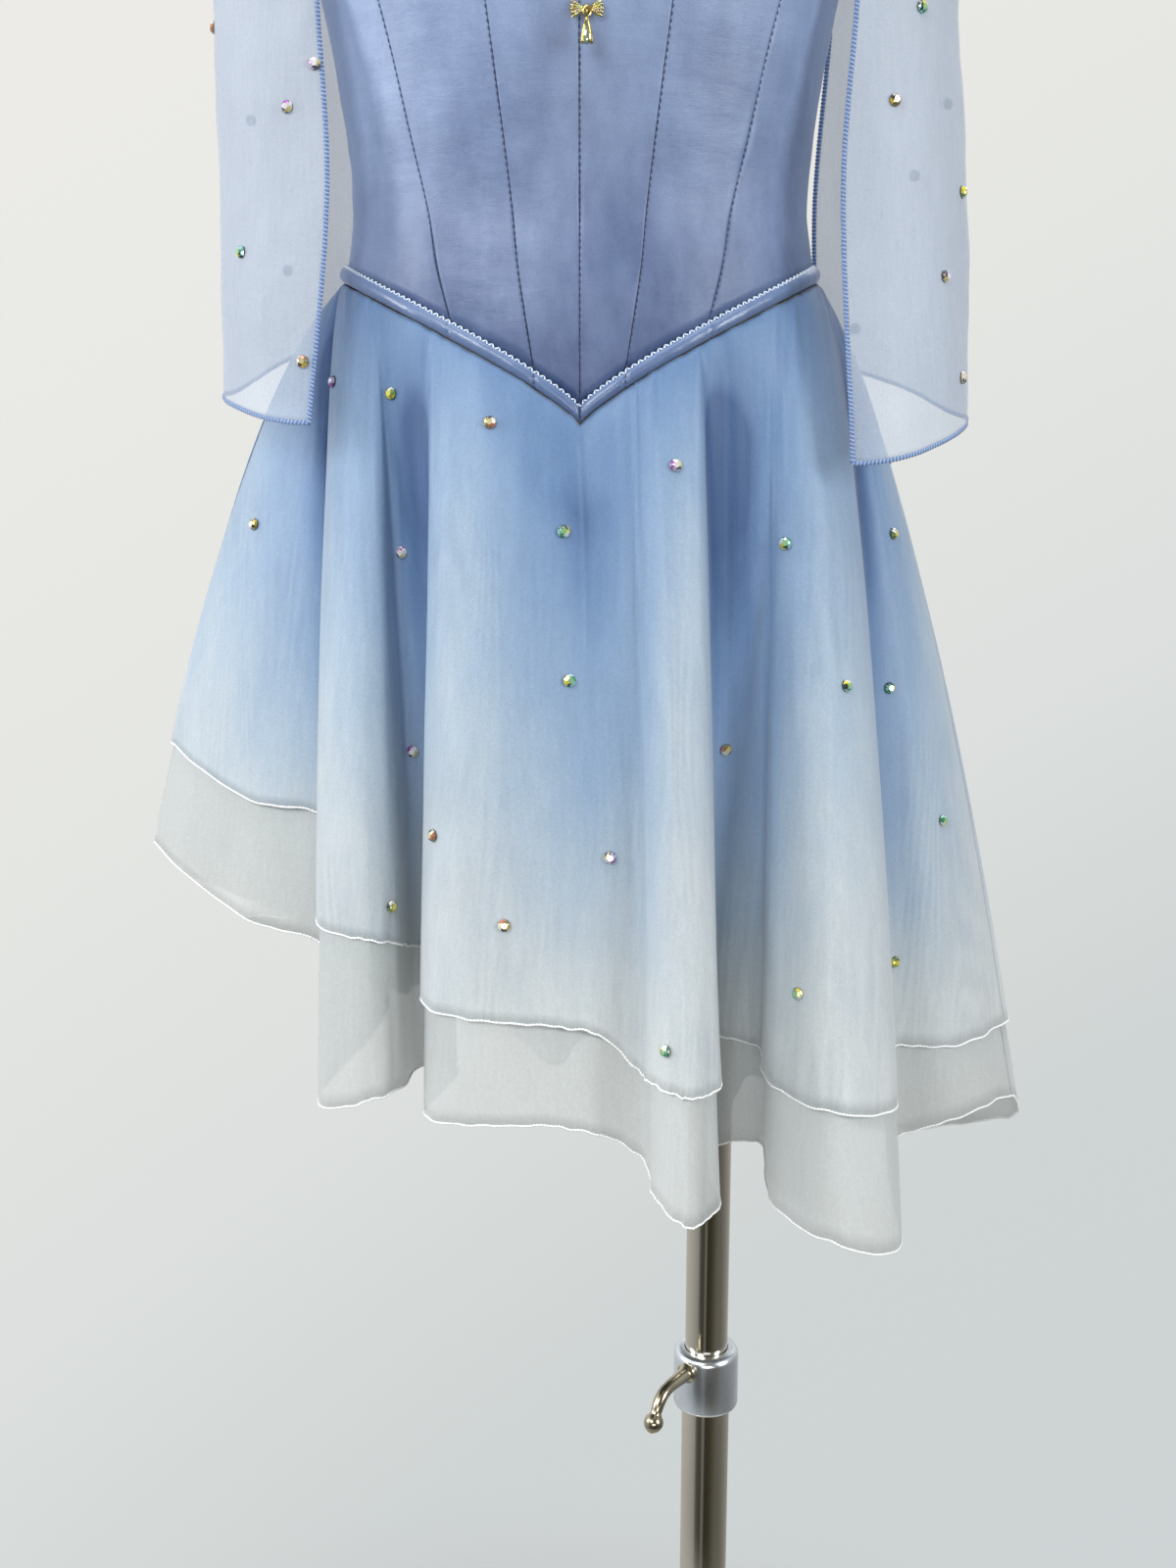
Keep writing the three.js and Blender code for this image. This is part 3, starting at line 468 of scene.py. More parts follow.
def sheer_finish(name, stops, cover, streak, moire=0.0, depth=0.0):
    """A sheer cloth. Its colour follows V, the way up the cloth, and so does its cover, from hem to top.
    Depth is how much painted shade darkens the hollows of folds and painted light lightens their crests. The ombre
    then follows the height as well."""
    cloth = Finish(name)
    along = cloth.axis("UV", "Y")
    drift = cloth.noise(cloth.place("Object", scale=(1, 1, 0.3)), 14, detail=3)
    blotch = cloth.noise(cloth.place("Object", scale=(1, 1, 0.4)), 45, detail=5, roughness=0.6)
    way_up_and_painted_fold_shade = along
    if depth:
        # Painted shade and light from the fold attribute: hollows darker, crests lighter, growing up the cloth.
        fold = cloth.node("ShaderNodeAttribute", attribute_name="fold")
        crest = cloth.spread(fold.outputs["Fac"], depth, -PAINTED_CREST_LIGHT_SHARE * depth)
        painted_hollow_shade = cloth.spread(fold.outputs["Fac"], PAINTED_HOLLOW_SHADE_SHARE * depth, 0, 0, PAINTED_HOLLOW_SHADE_END)
        painted_fold_light_and_shade = cloth.maths("MULTIPLY", cloth.added(crest, painted_hollow_shade), along)
        way_up_and_painted_fold_shade = cloth.mixed(0.5, along, cloth.spread(cloth.axis("Object", "Z"), 0, 1, *DYE_HEIGHTS))
        way_up_and_painted_fold_shade = cloth.added(way_up_and_painted_fold_shade, painted_fold_light_and_shade, cloth.spread(blotch, -0.13, 0.13))
    way_up_and_painted_fold_shade = cloth.added(way_up_and_painted_fold_shade, cloth.spread(drift, -0.1, 0.1))
    ombre_and_painted_fold_shade = cloth.spread(way_up_and_painted_fold_shade, 0, 1, 0, DYE_REACH)
    fibre = cloth.noise(cloth.place("Object", scale=(420, 420, 40)), 1, detail=4, roughness=0.65)
    crepe = cloth.noise(cloth.place("Object"), 900, detail=2)
    colour = cloth.grained(cloth.grained(cloth.ramp(ombre_and_painted_fold_shade, stops), fibre, 1 - streak), crepe, 0.9)
    if moire:
        hills = cloth.noise(cloth.place("Object", scale=(1.5, 0.3, 0.12)), 10, detail=3)
        rings = cloth.maths("SINE", cloth.maths("MULTIPLY", hills, MOIRE_RINGS), 0)
        grain = cloth.ramp(cloth.spread(rings, 0, 1, -1, 1), [(0, (0.55, 0.6, 0.66)), (1, (1, 1, 1))])
        patches = cloth.spread(cloth.noise(cloth.place("Object"), 9), 0, moire, 0.42, 0.6)
        colour = cloth.mixed(patches, colour, cloth.mixed(1.0, colour, grain, "MULTIPLY"))
    hides = cloth.added(cloth.spread(way_up_and_painted_fold_shade, *cover), cloth.spread(fibre, -0.04, 0.04))
    cloth.paint(Base_Color=colour, Alpha=hides)
    cloth.bumps((fibre, 0.0001), (crepe, 0.00012))
    set_sockets(cloth.shader, Roughness=0.5, Sheen_Weight=0.4, Sheen_Roughness=0.4, Specular_IOR_Level=0.45)
    return cloth.material


OMBRE = [
    (0.0, srgb(224, 230, 232)), (0.1, srgb(208, 218, 225)), (0.26, srgb(178, 198, 217)),
    (0.45, srgb(148, 175, 206)), (0.64, srgb(130, 160, 197)), (0.8, srgb(104, 137, 180)),
    (1.0, srgb(58, 92, 140)),
]
# The inner layer's whites are greyed by painted shade, as it hangs under the outer layer.
WHITES_GREYED_BY_PAINTED_SHADE = [(0.0, srgb(208, 213, 213)), (0.5, srgb(199, 209, 215)), (1.0, srgb(164, 186, 210))]
ORGANZA = [(0.0, srgb(186, 199, 217)), (1.0, srgb(196, 208, 224))]
# depth=0.48 is the strength of the painted fold shade and crest light.
outer_chiffon = sheer_finish("ombre_chiffon", OMBRE, cover=(0.62, 0.86), streak=0.05, moire=0.2, depth=0.48)
inner_chiffon = sheer_finish("white_chiffon", WHITES_GREYED_BY_PAINTED_SHADE, cover=(0.58, 0.7), streak=0.03)
organza = sheer_finish("blue_organza", ORGANZA, cover=(0.38, 0.42), streak=0.04)
print("sheer finishes:", outer_chiffon.name, inner_chiffon.name, organza.name)


# %% Threads
def thread_finish(name, colour):
    thread = Finish(name)
    fuzz = thread.noise(thread.place("Object"), 900, detail=2)
    pale = tuple(min(1, c * 1.25 + 0.02) for c in colour)
    thread.paint(Base_Color=thread.ramp(fuzz, [(0.3, colour), (0.7, pale)]))
    thread.bumps((fuzz, 0.0002))
    set_sockets(thread.shader, Roughness=0.5, Sheen_Weight=0.3)
    return thread.material


seam_thread = thread_finish("seam_thread", srgb(34, 44, 86))
zigzag_thread = thread_finish("zigzag_thread", srgb(206, 220, 240))
sleeve_thread = thread_finish("sleeve_edge_thread", srgb(76, 102, 148))
wrap_thread = thread_finish("sleeve_wrap_thread", srgb(136, 160, 196))
hem_thread = thread_finish("hem_thread", srgb(228, 234, 236))
print("thread finishes: 5")

# %% [markdown]
# The bodice is cut like a corset, from eight panels. Each is ruled between two seams, and its foot follows the band.
# At a seam both panels turn in, which makes the narrow valley that a sewn seam has.
# The satin also puckers a little beside the seams, so its outer face is moved by smooth noise.


# %% Seams and panels
def seam(table, top, side, shift):
    """Where a seam lies at each share of its length, as angle and height."""
    foot = table[0][0]
    for _ in range(8):
        foot = float(band_foot(rows_at(table, [foot])[0][1] + shift))

    def at(v):
        z = foot + (top - foot) * np.asarray(v, float)
        return side * (rows_at(table, z)[..., 1] + shift), z

    return at


def strap_edge(table, corner, column, side, shift):
    """A seam that runs on along an edge of the shoulder strap."""
    below = seam(table, corner, side, shift)
    shoulder = SHOULDER_INNER_Z if column.startswith("neck") else SHOULDER_OUTER_Z
    ahead = -SIDE_HALF_ANGLE if column.endswith("Front") else SIDE_HALF_ANGLE

    def at(v):
        v = np.asarray(v, float)
        low_angle, low_z = below(np.minimum(v / STRAP_SHARE, 1))
        climb = 1 - np.clip((1 - v) / (1 - STRAP_SHARE), 0, 1) ** STRAP_EASE
        z = corner + (shoulder - corner) * climb
        strap = rows_at(STRAP, np.minimum(z, SHOULDER_OUTER_Z))[..., STRAP_COLUMNS[column]]
        over = np.clip((z - SHOULDER_OUTER_Z) / (SHOULDER_INNER_Z - SHOULDER_OUTER_Z), 0, 1) ** SHOULDER_TURN
        angle = side * (strap + (90 - strap) * over + ahead)
        return np.where(v <= STRAP_SHARE, low_angle, angle), np.where(v <= STRAP_SHARE, low_z, z)

    return at


EDGE_SHARES = [0, 0.006, 0.014, 0.026, 0.045, 0.075, 0.12]
VALLEY_DEPTH, VALLEY_WIDTH = 0.3, 0.6
PUCKER_AT_SEAM, PUCKER_REACH, PUCKER_ANYWHERE, PUCKER_INWARD = 0.8, 16, 0.7, 0.3


def panel(name, side, near, far, rows, scoop=0):
    left, right = (near, far) if side > 0 else (far, near)
    middle = np.linspace(0.12, 0.88, 17)[1:-1]
    u = np.array([*EDGE_SHARES, *middle, *[1 - s for s in reversed(EDGE_SHARES)]])
    v = np.linspace(0, 1, rows)[:, None]
    (left_angle, left_z), (right_angle, right_z) = left(v), right(v)
    angle = left_angle + (right_angle - left_angle) * u
    straight = left_z + (right_z - left_z) * u
    foot_angle = left_angle[0] + (right_angle[0] - left_angle[0]) * u
    foot_lift = band_foot(foot_angle) - (left_z[0] + (right_z[0] - left_z[0]) * u)
    across = u if side > 0 else 1 - u
    dip = SCOOP_PEAK * across * (1 - across) ** 2 * v**3
    z = straight + foot_lift * (1 - v) ** 3 - scoop * dip
    middle_grid = torso_points(angle, z, np.full(angle.shape, FORM_CLEARANCE + SATIN_WALL / 2))
    inner = torso_points(angle, z, np.full(angle.shape, FORM_CLEARANCE))
    width = np.linalg.norm(middle_grid[:, -1] - middle_grid[:, 0], axis=1)[:, None]
    from_seam = np.minimum(u, 1 - u) * width
    valley = VALLEY_DEPTH * np.exp(-((from_seam / VALLEY_WIDTH) ** 2))
    pucker = PUCKER_AT_SEAM * uneven(middle_grid * (0.6, 0.6, 1), 15, 4.2) * np.exp(-from_seam / PUCKER_REACH)
    pucker += PUCKER_ANYWHERE * uneven(middle_grid, 30, 9.1)
    settle = np.clip(from_seam / 2, 0, 1)
    out = BODICE_FACE - valley + np.maximum(pucker, -PUCKER_INWARD) * settle
    outer = torso_points(angle, z, out)
    uv = np.stack(np.broadcast_arrays(u, v), -1)
    piece = placed(shell(name, outer, inner, uv), bodice_satin, solid=name.removeprefix("satin_"))


def bodice_edges(side):
    """The seams and edges that the four panels of one side are ruled between."""
    return {
        "centre": seam(CENTRE_FRONT, NECK_CENTRE_Z, side, SEAM_HALF_ANGLE),
        "inner": seam(INNER_SEAM, NECK_CORNER_Z, side, -SEAM_HALF_ANGLE),
        "neck_front": strap_edge(INNER_SEAM, NECK_CORNER_Z, "neckFront", side, SEAM_HALF_ANGLE),
        "arm_front": strap_edge(OUTER_SEAM, ARMHOLE_CORNER_Z, "armFront", side, -SEAM_HALF_ANGLE),
        "outer": seam(OUTER_SEAM, ARMHOLE_CORNER_Z, side, SEAM_HALF_ANGLE),
        "flank": seam(SIDE_SEAM, ARMHOLE_BOTTOM_Z, side, -SIDE_HALF_ANGLE),
        "arm_back": strap_edge(BACK_ARM_EDGE, ARMHOLE_CORNER_Z, "armBack", side, SIDE_HALF_ANGLE),
        "neck_back": strap_edge(CENTRE_BACK, BACK_NECK_Z, "neckBack", side, -SEAM_HALF_ANGLE),
    }


# %% The eight panels
for word, side in (("left", 1), ("right", -1)):
    edge = bodice_edges(side)
    panel(f"satin_front_centre_{word}", side, edge["centre"], edge["inner"], 60)
    panel(f"satin_front_mid_{word}", side, edge["neck_front"], edge["arm_front"], 90)
    panel(f"satin_front_side_{word}", side, edge["outer"], edge["flank"], 44, ARMHOLE_SCOOP)
    panel(f"satin_back_{word}", side, edge["arm_back"], edge["neck_back"], 80)

# %% [markdown]
# The waist band is a padded roll of the same satin, round in section and sewn down along both edges.
# The bodice seams carry on across it as shallow creases.


# %% Waist band
def band_profile(turn):
    """Height above the band's lower edge, and distance out, at each turn from its lower edge to its upper one."""
    return BAND_HEIGHT * (1 - np.cos(turn)) / 2, 0.9 + 4.7 * np.sin(turn) ** 0.85


def band(name, from_angle, to_angle, steps):
    angle = np.linspace(from_angle, to_angle, steps)[:, None]
    turn = np.linspace(0, np.pi, 15)
    up, bulge = band_profile(turn)
    crease = np.zeros(angle.shape)
    for seam_table in (INNER_SEAM, OUTER_SEAM):
        crossing = rows_at(seam_table, [seam_table[0][0]])[0][1]
        crease += np.exp(-(((np.abs(angle) - crossing) / 0.35) ** 2))
    crease += np.exp(-((angle / 0.35) ** 2))
    lower = band_lower(angle)
    wave = uneven(np.concatenate([angle / 3, angle * 0, angle * 0], 1)[:, None], 1, 2.5)
    out = np.maximum(bulge - 0.9 * crease * np.sin(turn) + 0.35 * wave * np.sin(turn), 0.9)
    front = torso_points(np.broadcast_to(angle, out.shape), lower + up, out)
    back = torso_points(angle, lower + BAND_HEIGHT / 2, np.full(angle.shape, 0.6))
    sections = np.concatenate([front, back], 1)
    piece = new_mesh(name, sections.reshape(-1, 3), tube_faces(*sections.shape[:2], turned=True))
    placed(piece, band_satin, solid=name.removeprefix("padded_"))


band("padded_band_front_left", SEAM_HALF_ANGLE, 90 - SIDE_HALF_ANGLE, 150)
band("padded_band_front_right", -90 + SIDE_HALF_ANGLE, -SEAM_HALF_ANGLE, 150)
band("padded_band_back", 90 + SIDE_HALF_ANGLE, 270 - SIDE_HALF_ANGLE, 150)
print("waist band: 3 padded pieces")

# %% [markdown]
# Every seam is stitched down in dark thread, just beside the valley, and the stitches run on across the band.
# One stitch is modelled, a short rounded thread, and it is copied along the paths. All copies make one piece.


# %% One stitch and how it is repeated
def stitch_shape():
    lonely()
    bpy.ops.mesh.primitive_uv_sphere_add(segments=6, ring_count=5, radius=0.5, rotation=(0, math.radians(90), 0))
    bpy.ops.object.transform_apply(location=False, rotation=True, scale=False)
    master = bpy.context.object
    points = np.array([v.co for v in master.data.vertices])
    faces = [list(f.vertices) for f in master.data.polygons]
    bpy.data.objects.remove(master)
    return points, faces


STITCH_POINTS, STITCH_FACES = stitch_shape()


LOOK_AHEAD = 0.4
SEAM_PITCH, SEAM_STITCH, SEAM_THREAD, BESIDE_SEAM = 3.1, 2.0, 0.6, 0.35
ZIGZAG_PITCH, ZIGZAG_STITCH, ZIGZAG_THREAD = 1.8, 2.9, 0.8
DEGREES = 57.3


def run_along(path):
    """The distance run at each point of a path."""
    return np.concatenate([[0], np.cumsum(np.linalg.norm(np.diff(path, axis=0), axis=1))])


def values_at(stops, run, values):
    return np.stack([np.interp(stops, run, values[:, c]) for c in range(3)], 1)


def along_path(path, spacing, start=0.0):
    """Places, directions and distances at an even spacing along a path of points."""
    run = run_along(path)
    stops = np.arange(start, run[-1], spacing)
    ahead, behind = values_at(stops + LOOK_AHEAD, run, path), values_at(stops - LOOK_AHEAD, run, path)
    return values_at(stops, run, path), unit(ahead - behind), stops


def copies(shape, shape_faces, places, *ways):
    """Points and faces of a shape copied to each place, with its x, y and z along the three ways there."""
    points = places[:, None] + sum(shape[None, :, c:c + 1] * way[:, None] for c, way in enumerate(ways))
    faces = [[i + k * len(shape) for i in f] for k in range(len(places)) for f in shape_faces]
    return points.reshape(-1, 3), faces


def threads(places, directions, ups, length, thickness):
    """Points and faces of many stitches, each along its direction and lying on its up side."""
    sides = unit(np.cross(ups, directions))
    shape = STITCH_POINTS * (length, thickness, thickness)
    return copies(shape, STITCH_FACES, places, directions, sides, unit(np.cross(directions, sides)))


def gather(name, parts, finish):
    """One piece from many groups of points and faces."""
    points, faces, base = [], [], 0
    for part_points, part_faces in parts:
        points.append(part_points)
        faces += [[i + base for i in f] for f in part_faces]
        base += len(part_points)
    return placed(new_mesh(name, np.concatenate(points), faces), finish)


def seam_path(table, top, side, beside, samples=160):
    """A line of stitches beside a seam, on the satin's face, from the band up."""
    angle, z = seam(table, top, side, 0)(np.linspace(0, 1, samples))
    width = rows_at(TORSO, z)[..., 1]
    return torso_points(angle + beside / width * DEGREES, z, np.full(z.shape, BODICE_FACE - 0.05))


def band_crossing(angle, beside):
    """The same line where it runs on over the band, from its lower edge to its upper one."""
    up, bulge = band_profile(np.linspace(0.12, 0.96, 30) * np.pi)
    turned = np.full(up.shape, angle + beside / 2)
    return torso_points(turned, band_lower(turned) + up, bulge - 0.55)


def topstitches(path):
    places, directions, _ = along_path(path, SEAM_PITCH, 1.0)
    return threads(places, directions, unit(places * (1, 1, 0)), SEAM_STITCH, SEAM_THREAD)


# %% Topstitching
stitched = []
for side in (1, -1):
    for table, top in ((INNER_SEAM, NECK_CORNER_Z), (OUTER_SEAM, ARMHOLE_CORNER_Z)):
        stitched.append(topstitches(seam_path(table, top, side, side * BESIDE_SEAM)))
        stitched.append(topstitches(band_crossing(side * table[0][1], side * BESIDE_SEAM)))
stitched.append(topstitches(seam_path(CENTRE_FRONT, NECK_CENTRE_Z, 1, BESIDE_SEAM)))
stitched.append(topstitches(band_crossing(0.0, BESIDE_SEAM)))
seam_stitches = gather("seam_topstitching", stitched, seam_thread)
print("topstitching:", len(seam_stitches.data.polygons), "faces")


# %% Zigzag along the band's upper edge
def zigzag(from_angle, to_angle):
    angle = np.linspace(from_angle, to_angle, 900)
    up, bulge = band_profile(0.86 * np.pi)
    path = torso_points(angle, band_lower(angle) + up, np.full(angle.shape, bulge))
    places, directions, stops = along_path(path, ZIGZAG_PITCH, 0.6)
    out = unit(unit(places * (1, 1, 0)) + (0, 0, 1))
    across = unit(np.cross(out, directions))
    swing = np.where(np.arange(len(stops)) % 2 == 0, 1.0, -1.0)[:, None]
    return threads(places, unit(directions * 0.7 + across * swing), out, ZIGZAG_STITCH, ZIGZAG_THREAD)


band_stitches = gather("band_zigzag", [zigzag(-90, 90), zigzag(90, 270)], zigzag_thread)
print("zigzag:", len(band_stitches.data.polygons), "faces")

# %% [markdown]
# Both skirt layers hang from under the band and fall into deep folds. One table gives each fold line:
# where it leaves the band, where its crest or hollow lies at the hem, and how low the two hems reach there.
# A smooth closed curve runs through the fold lines, and the cloth flares out and folds more the lower it is.

# %% Fold lines
# angle at the band, angle aimed for, x and y at the outer hem, heights of the outer and inner hem
FRONT_FOLDS = [
    (-104, -91, -225, 4, 757, 702), (-97, -66, -176, -44, 738, 676), (-92, -48, -131, -64, 733, 664),
    (-89.5, -42, -108, -64, 712, 634), (-86, -37, -134, -90, 686, 594), (-72, -30, -110, -112, 682, 600),
    (-59, -27.5, -92, -104, 677, 602), (-51, -26, -84, -72, 665, 598), (-40, -23, -68, -76, 660, 597),
    (-32, -20, -80, -110, 651, 592), (-24, -12, -58, -142, 651, 598), (-8, -3.5, -15, -141, 647, 597),
    (0, 1.5, 9, -135, 640, 589), (11, 6, 30, -137, 622, 577), (14, 7.3, 34, -146, 621, 564),
    (19, 9, 49, -160, 618, 555),
    (26, 14, 66, -147, 616, 556), (32, 20, 72, -76, 617, 554), (44, 24.5, 94, -76, 610, 555),
    (54, 27, 96, -106, 604, 541), (68, 31, 126, -134, 599, 533), (84, 40, 161, -111, 592, 521),
    (90, 54, 168, -46, 599, 544), (97, 70, 203, -36, 596, 554),
]
BACK_FOLDS = [
    (104, 91, 241, 4, 594, 550), (112, 104, 249, 44, 586, 522), (122, 118, 233, 95, 570, 493),
    (132, 131, 174, 96, 562, 489), (142, 144, 150, 150, 560, 488), (153, 155, 108, 182, 559, 487),
    (162, 162, 84, 126, 563, 490), (171, 170, 48, 188, 575, 502), (181, 179, 4, 196, 582, 508),
    (190, 186, -22, 128, 594, 520), (199, 193, -58, 186, 608, 533), (208, 203, -102, 172, 630, 556),
    (217, 212, -112, 110, 652, 576), (226, 221, -160, 136, 676, 599), (236, 232, -194, 96, 700, 627),
    (243, 243, -168, 58, 710, 642), (250, 255, -208, 42, 728, 668),
]
FOLDS = np.array(FRONT_FOLDS + BACK_FOLDS, float)
FRONT_COUNT = len(FRONT_FOLDS)
HEM_HALF_WIDTH = 224
HEM_FRONT_DEPTH = 112
HEM_BACK_DEPTH = 148
FLARE_POWER = 0.6
FOLD_POWER = 0.85
OUTER_LAYER_OUT = 3.6
LAYER_SPACING = 2.2
SIDE_SEAM_SHARE = 0.005
RELIEF_REACH = 44
print("fold lines:", len(FOLDS))


# %% The skirt's surface
def folds_at(position):
    """The fold table's columns at fractional row numbers, on a closed smooth curve."""
    count = len(FOLDS)
    base = np.floor(position).astype(int)
    share = (position - base)[:, None]
    rows = []
    for k in (-1, 0, 1, 2):
        row = FOLDS[(base + k) % count].copy()
        row[:, :2] += (360 * np.floor((base + k) / count))[:, None]
        rows.append(row)
    knots = [np.zeros((len(base), 1))]
    for k in (1, 2, 3):
        span = np.linalg.norm(rows[k][:, 2:4] - rows[k - 1][:, 2:4], axis=1, keepdims=True)
        knots.append(knots[-1] + np.sqrt(span))
    at = knots[1] + (knots[2] - knots[1]) * share

    def blend(a, b, start, end):
        return a + (b - a) * (at - start) / (end - start)

    a = [blend(rows[k], rows[k + 1], knots[k], knots[k + 1]) for k in (0, 1, 2)]
    b = [blend(a[k], a[k + 1], knots[k], knots[k + 2]) for k in (0, 1)]
    return blend(b[0], b[1], knots[1], knots[2])


def skirt_points(position, share):
    """Points of the outer layer, for fold row numbers (columns) and shares of the drop (rows by columns)."""
    fold = folds_at(position)
    waist, aim, hem_x, hem_y, outer = (fold[:, c] for c in range(5))
    top = torso_points(waist, band_lower(waist) - SEAM_GAP, np.full(waist.shape, OUTER_LAYER_OUT))
    turn = np.radians(aim)
    depth = np.where(np.cos(turn) < 0, HEM_BACK_DEPTH, HEM_FRONT_DEPTH)
    base_x, base_y = HEM_HALF_WIDTH * np.sin(turn), -depth * np.cos(turn)
    flare, folded = share**FLARE_POWER, share**FOLD_POWER
    x = top[:, 0] + (base_x - top[:, 0]) * flare + (hem_x - base_x) * folded
    y = top[:, 1] + (base_y - top[:, 1]) * flare + (hem_y - base_y) * folded
    z = top[:, 2] + (outer - top[:, 2]) * share
    return np.stack([x, y, z], -1)


def skirt_grid(start, end, inner, columns_per_fold=12, rows=64):
    """Middle points, normals and shares of one layer's half."""
    columns = (end - start) * columns_per_fold + 1
    position = np.linspace(start + SIDE_SEAM_SHARE, end - SIDE_SEAM_SHARE, columns)
    fold = folds_at(position)
    top_z = band_lower(fold[:, 0]) - SEAM_GAP
    reach = (top_z - fold[:, 5]) / (top_z - fold[:, 4]) if inner else np.ones(position.shape)
    down = np.linspace(1, 0, rows)[:, None] ** 1.25
    share = np.maximum(down * reach, 1e-6)
    grid = skirt_points(position, share)
    return position, share, grid, grid_normals(grid), down


# %% Skirt layers
def fold_relief(grid, share):
    """How far each point stands out among its neighbours round the skirt: 0 in a hollow, 1 on a crest."""
    radius = np.linalg.norm(grid[..., :2], axis=-1)
    reach = np.arange(-RELIEF_REACH, RELIEF_REACH + 1)
    weights = np.exp(-((reach / (RELIEF_REACH / 2.2)) ** 2))
    padded = np.pad(radius, ((0, 0), (RELIEF_REACH, RELIEF_REACH)), mode="edge")
    level = np.stack([np.convolve(row, weights / weights.sum(), mode="valid") for row in padded])
    return np.clip(0.5 + (radius - level) / (5 + 22 * share) * np.clip(share / 0.15, 0, 1), 0, 1)


def skirt_layer(name, start, end, inner, finish, slot):
    position, share, grid, normals, down = skirt_grid(start, end, inner)
    fibre = np.stack(np.broadcast_arrays(position * 2.6, share * 2.2, 3.0 if inner else 0.0), -1)
    crinkle = 0.9 * uneven(fibre, 1, 7.7) + 0.45 * uneven(fibre * (2.7, 1.4, 1), 1, 1.3)
    gathers = np.stack(np.broadcast_arrays(position * 3.7, share * 1.5, 9.0), -1)
    gather_at_band = 1.1 * np.maximum(uneven(gathers, 1, 4.4), -0.4) * np.exp(-share / 0.12) * (not inner)
    ripple = uneven(np.stack(np.broadcast_arrays(position * 2.3, 0.5, 0), -1), 1, 5.5)
    hem_wave = 2.4 * ripple * np.exp(-(1 - down) / 0.07)
    moved = crinkle * 0.8 * np.clip(share * 6, 0, 1) + hem_wave + gather_at_band
    middle = grid + normals * (moved - (LAYER_SPACING if inner else 0))[..., None]
    uneven_hem = uneven(np.stack([position * 4.3, position * 0, position * 0], -1), 1, 2.2)
    middle[..., 2] += 1.6 * uneven_hem * np.exp(-(1 - down) / 0.04)
    uv = np.stack(np.broadcast_arrays(position / len(FOLDS), 1 - down), -1)
    half = SHEER_WALL / 2
    piece = shell(name, middle + normals * half, middle - normals * half, uv)
    # The fold attribute drives the painted shade in the hollows and the painted light on the crests of the ombre
    # chiffon.
    fold = piece.data.attributes.new("fold", "FLOAT", "POINT")
    fold.data.foreach_set("value", np.tile(fold_relief(grid, share).ravel(), 2))
    placed(piece, finish, solid=name.removeprefix("sheer_"))
    return piece, grid, middle, normals


skirt_halves = {}
LAYERS = {"outer": (outer_chiffon, "ombre_chiffon"), "inner": (inner_chiffon, "white_chiffon")}
for half_word, start, end in (("front", 0, FRONT_COUNT), ("back", FRONT_COUNT, len(FOLDS))):
    for layer, finish_and_slot in LAYERS.items():
        name = f"sheer_skirt_{layer}_{half_word}"
        skirt_halves[layer, half_word] = skirt_layer(name, start, end, layer == "inner", *finish_and_slot)
print("skirt faces:", sum(len(h[0].data.polygons) for h in skirt_halves.values()))

# %% [markdown]
# The hems are overlocked: thread is wrapped round the edge, in white on the skirt and in blue on the sleeves.
# An edge like this is a small flat tube that follows the cloth's edge, and it swells at every wrap of thread.


# %% Overlocked edges
def overlock(name, path, normals, height, thickness, pitch, finish):
    """A tube of wrapped thread along a path of edge points."""
    run = run_along(path)
    stops = np.linspace(0, run[-1], int(run[-1] / (pitch / 4)) + 1)
    centre = values_at(stops, run, path)
    out = unit(values_at(stops, run, normals))
    ahead = unit(np.gradient(centre, axis=0))
    across = unit(np.cross(out, ahead))
    wrap = 1 + 0.3 * np.cos(2 * np.pi * stops / pitch)[:, None]
    turn = np.linspace(0, 2 * np.pi, 7)[:-1]
    ring = across[:, None] * np.cos(turn)[:, None] * height / 2
    ring = ring + out[:, None] * np.sin(turn)[:, None] * thickness / 2
    points = centre[:, None] + ring * wrap[..., None]
    return placed(new_mesh(name, points.reshape(-1, 3), tube_faces(*points.shape[:2])), finish)


WRAP_THICKNESS = 1.1


def edge_wraps(name, path, normals, width, pitch, finish):
    """Slanted loops of thread over an edge, which give it the look of a fine chain."""
    places, directions, stops = along_path(path, pitch, pitch / 2)
    out = unit(values_at(stops, run_along(path), normals))
    across = unit(np.cross(out, directions) + directions * 0.5)
    return gather(name, [threads(places, across, out, width, WRAP_THICKNESS)], finish)


for (layer, half_word), (piece, grid, middle, normals) in skirt_halves.items():
    name = f"hem_{layer}_{half_word}"
    hem = overlock(name, middle[0], normals[0], 1.2, 1.0, 1.8, hem_thread)


# %% [markdown]
# The sleeves are tubes of organza, left open along the inner side from the armhole to the hem.
# Each is a sheet that wraps the arm's space from its front edge round the outside to its back edge.

# %% Sleeve tables
# level, x of both open edges, x of the outer fold, y of the front and back edge, how far these drop below the fold
SLEEVE_RIGHT_ARM = [
    (945, 131, 184, -77, 60, 13, -25), (1040, 121, 183, -62, 50, 0, 0), (1127, 124, 182, -54, 46, 0, 0),
]
SLEEVE_LEFT_ARM = [
    (933, 132, 201, -82, 62, 20, -25), (1040, 126, 197, -64, 50, 0, 0), (1127, 131, 188, -54, 46, 0, 0),
]
SLEEVE_START_Z = 1165
SLEEVE_SEAM_OUT = BODICE_FACE + 1.1
SLEEVE_PUFF = 26
CAP_SHARE = 0.55
CAP_LIFT = 0.45


def sleeve_ring(side, table, around, z):
    row = rows_at(table, z)
    inner, outer, front, back, front_drop, back_drop = (row[..., c] for c in range(1, 7))
    sine, cosine = np.sin(np.pi * around), np.cos(np.pi * around)
    x = inner + (outer - inner) * sine
    y = np.where(cosine > 0, front, -back) * cosine
    drop = np.where(cosine > 0, front_drop, back_drop) * cosine**2
    return np.stack(np.broadcast_arrays(side * x, y, z - drop), -1)


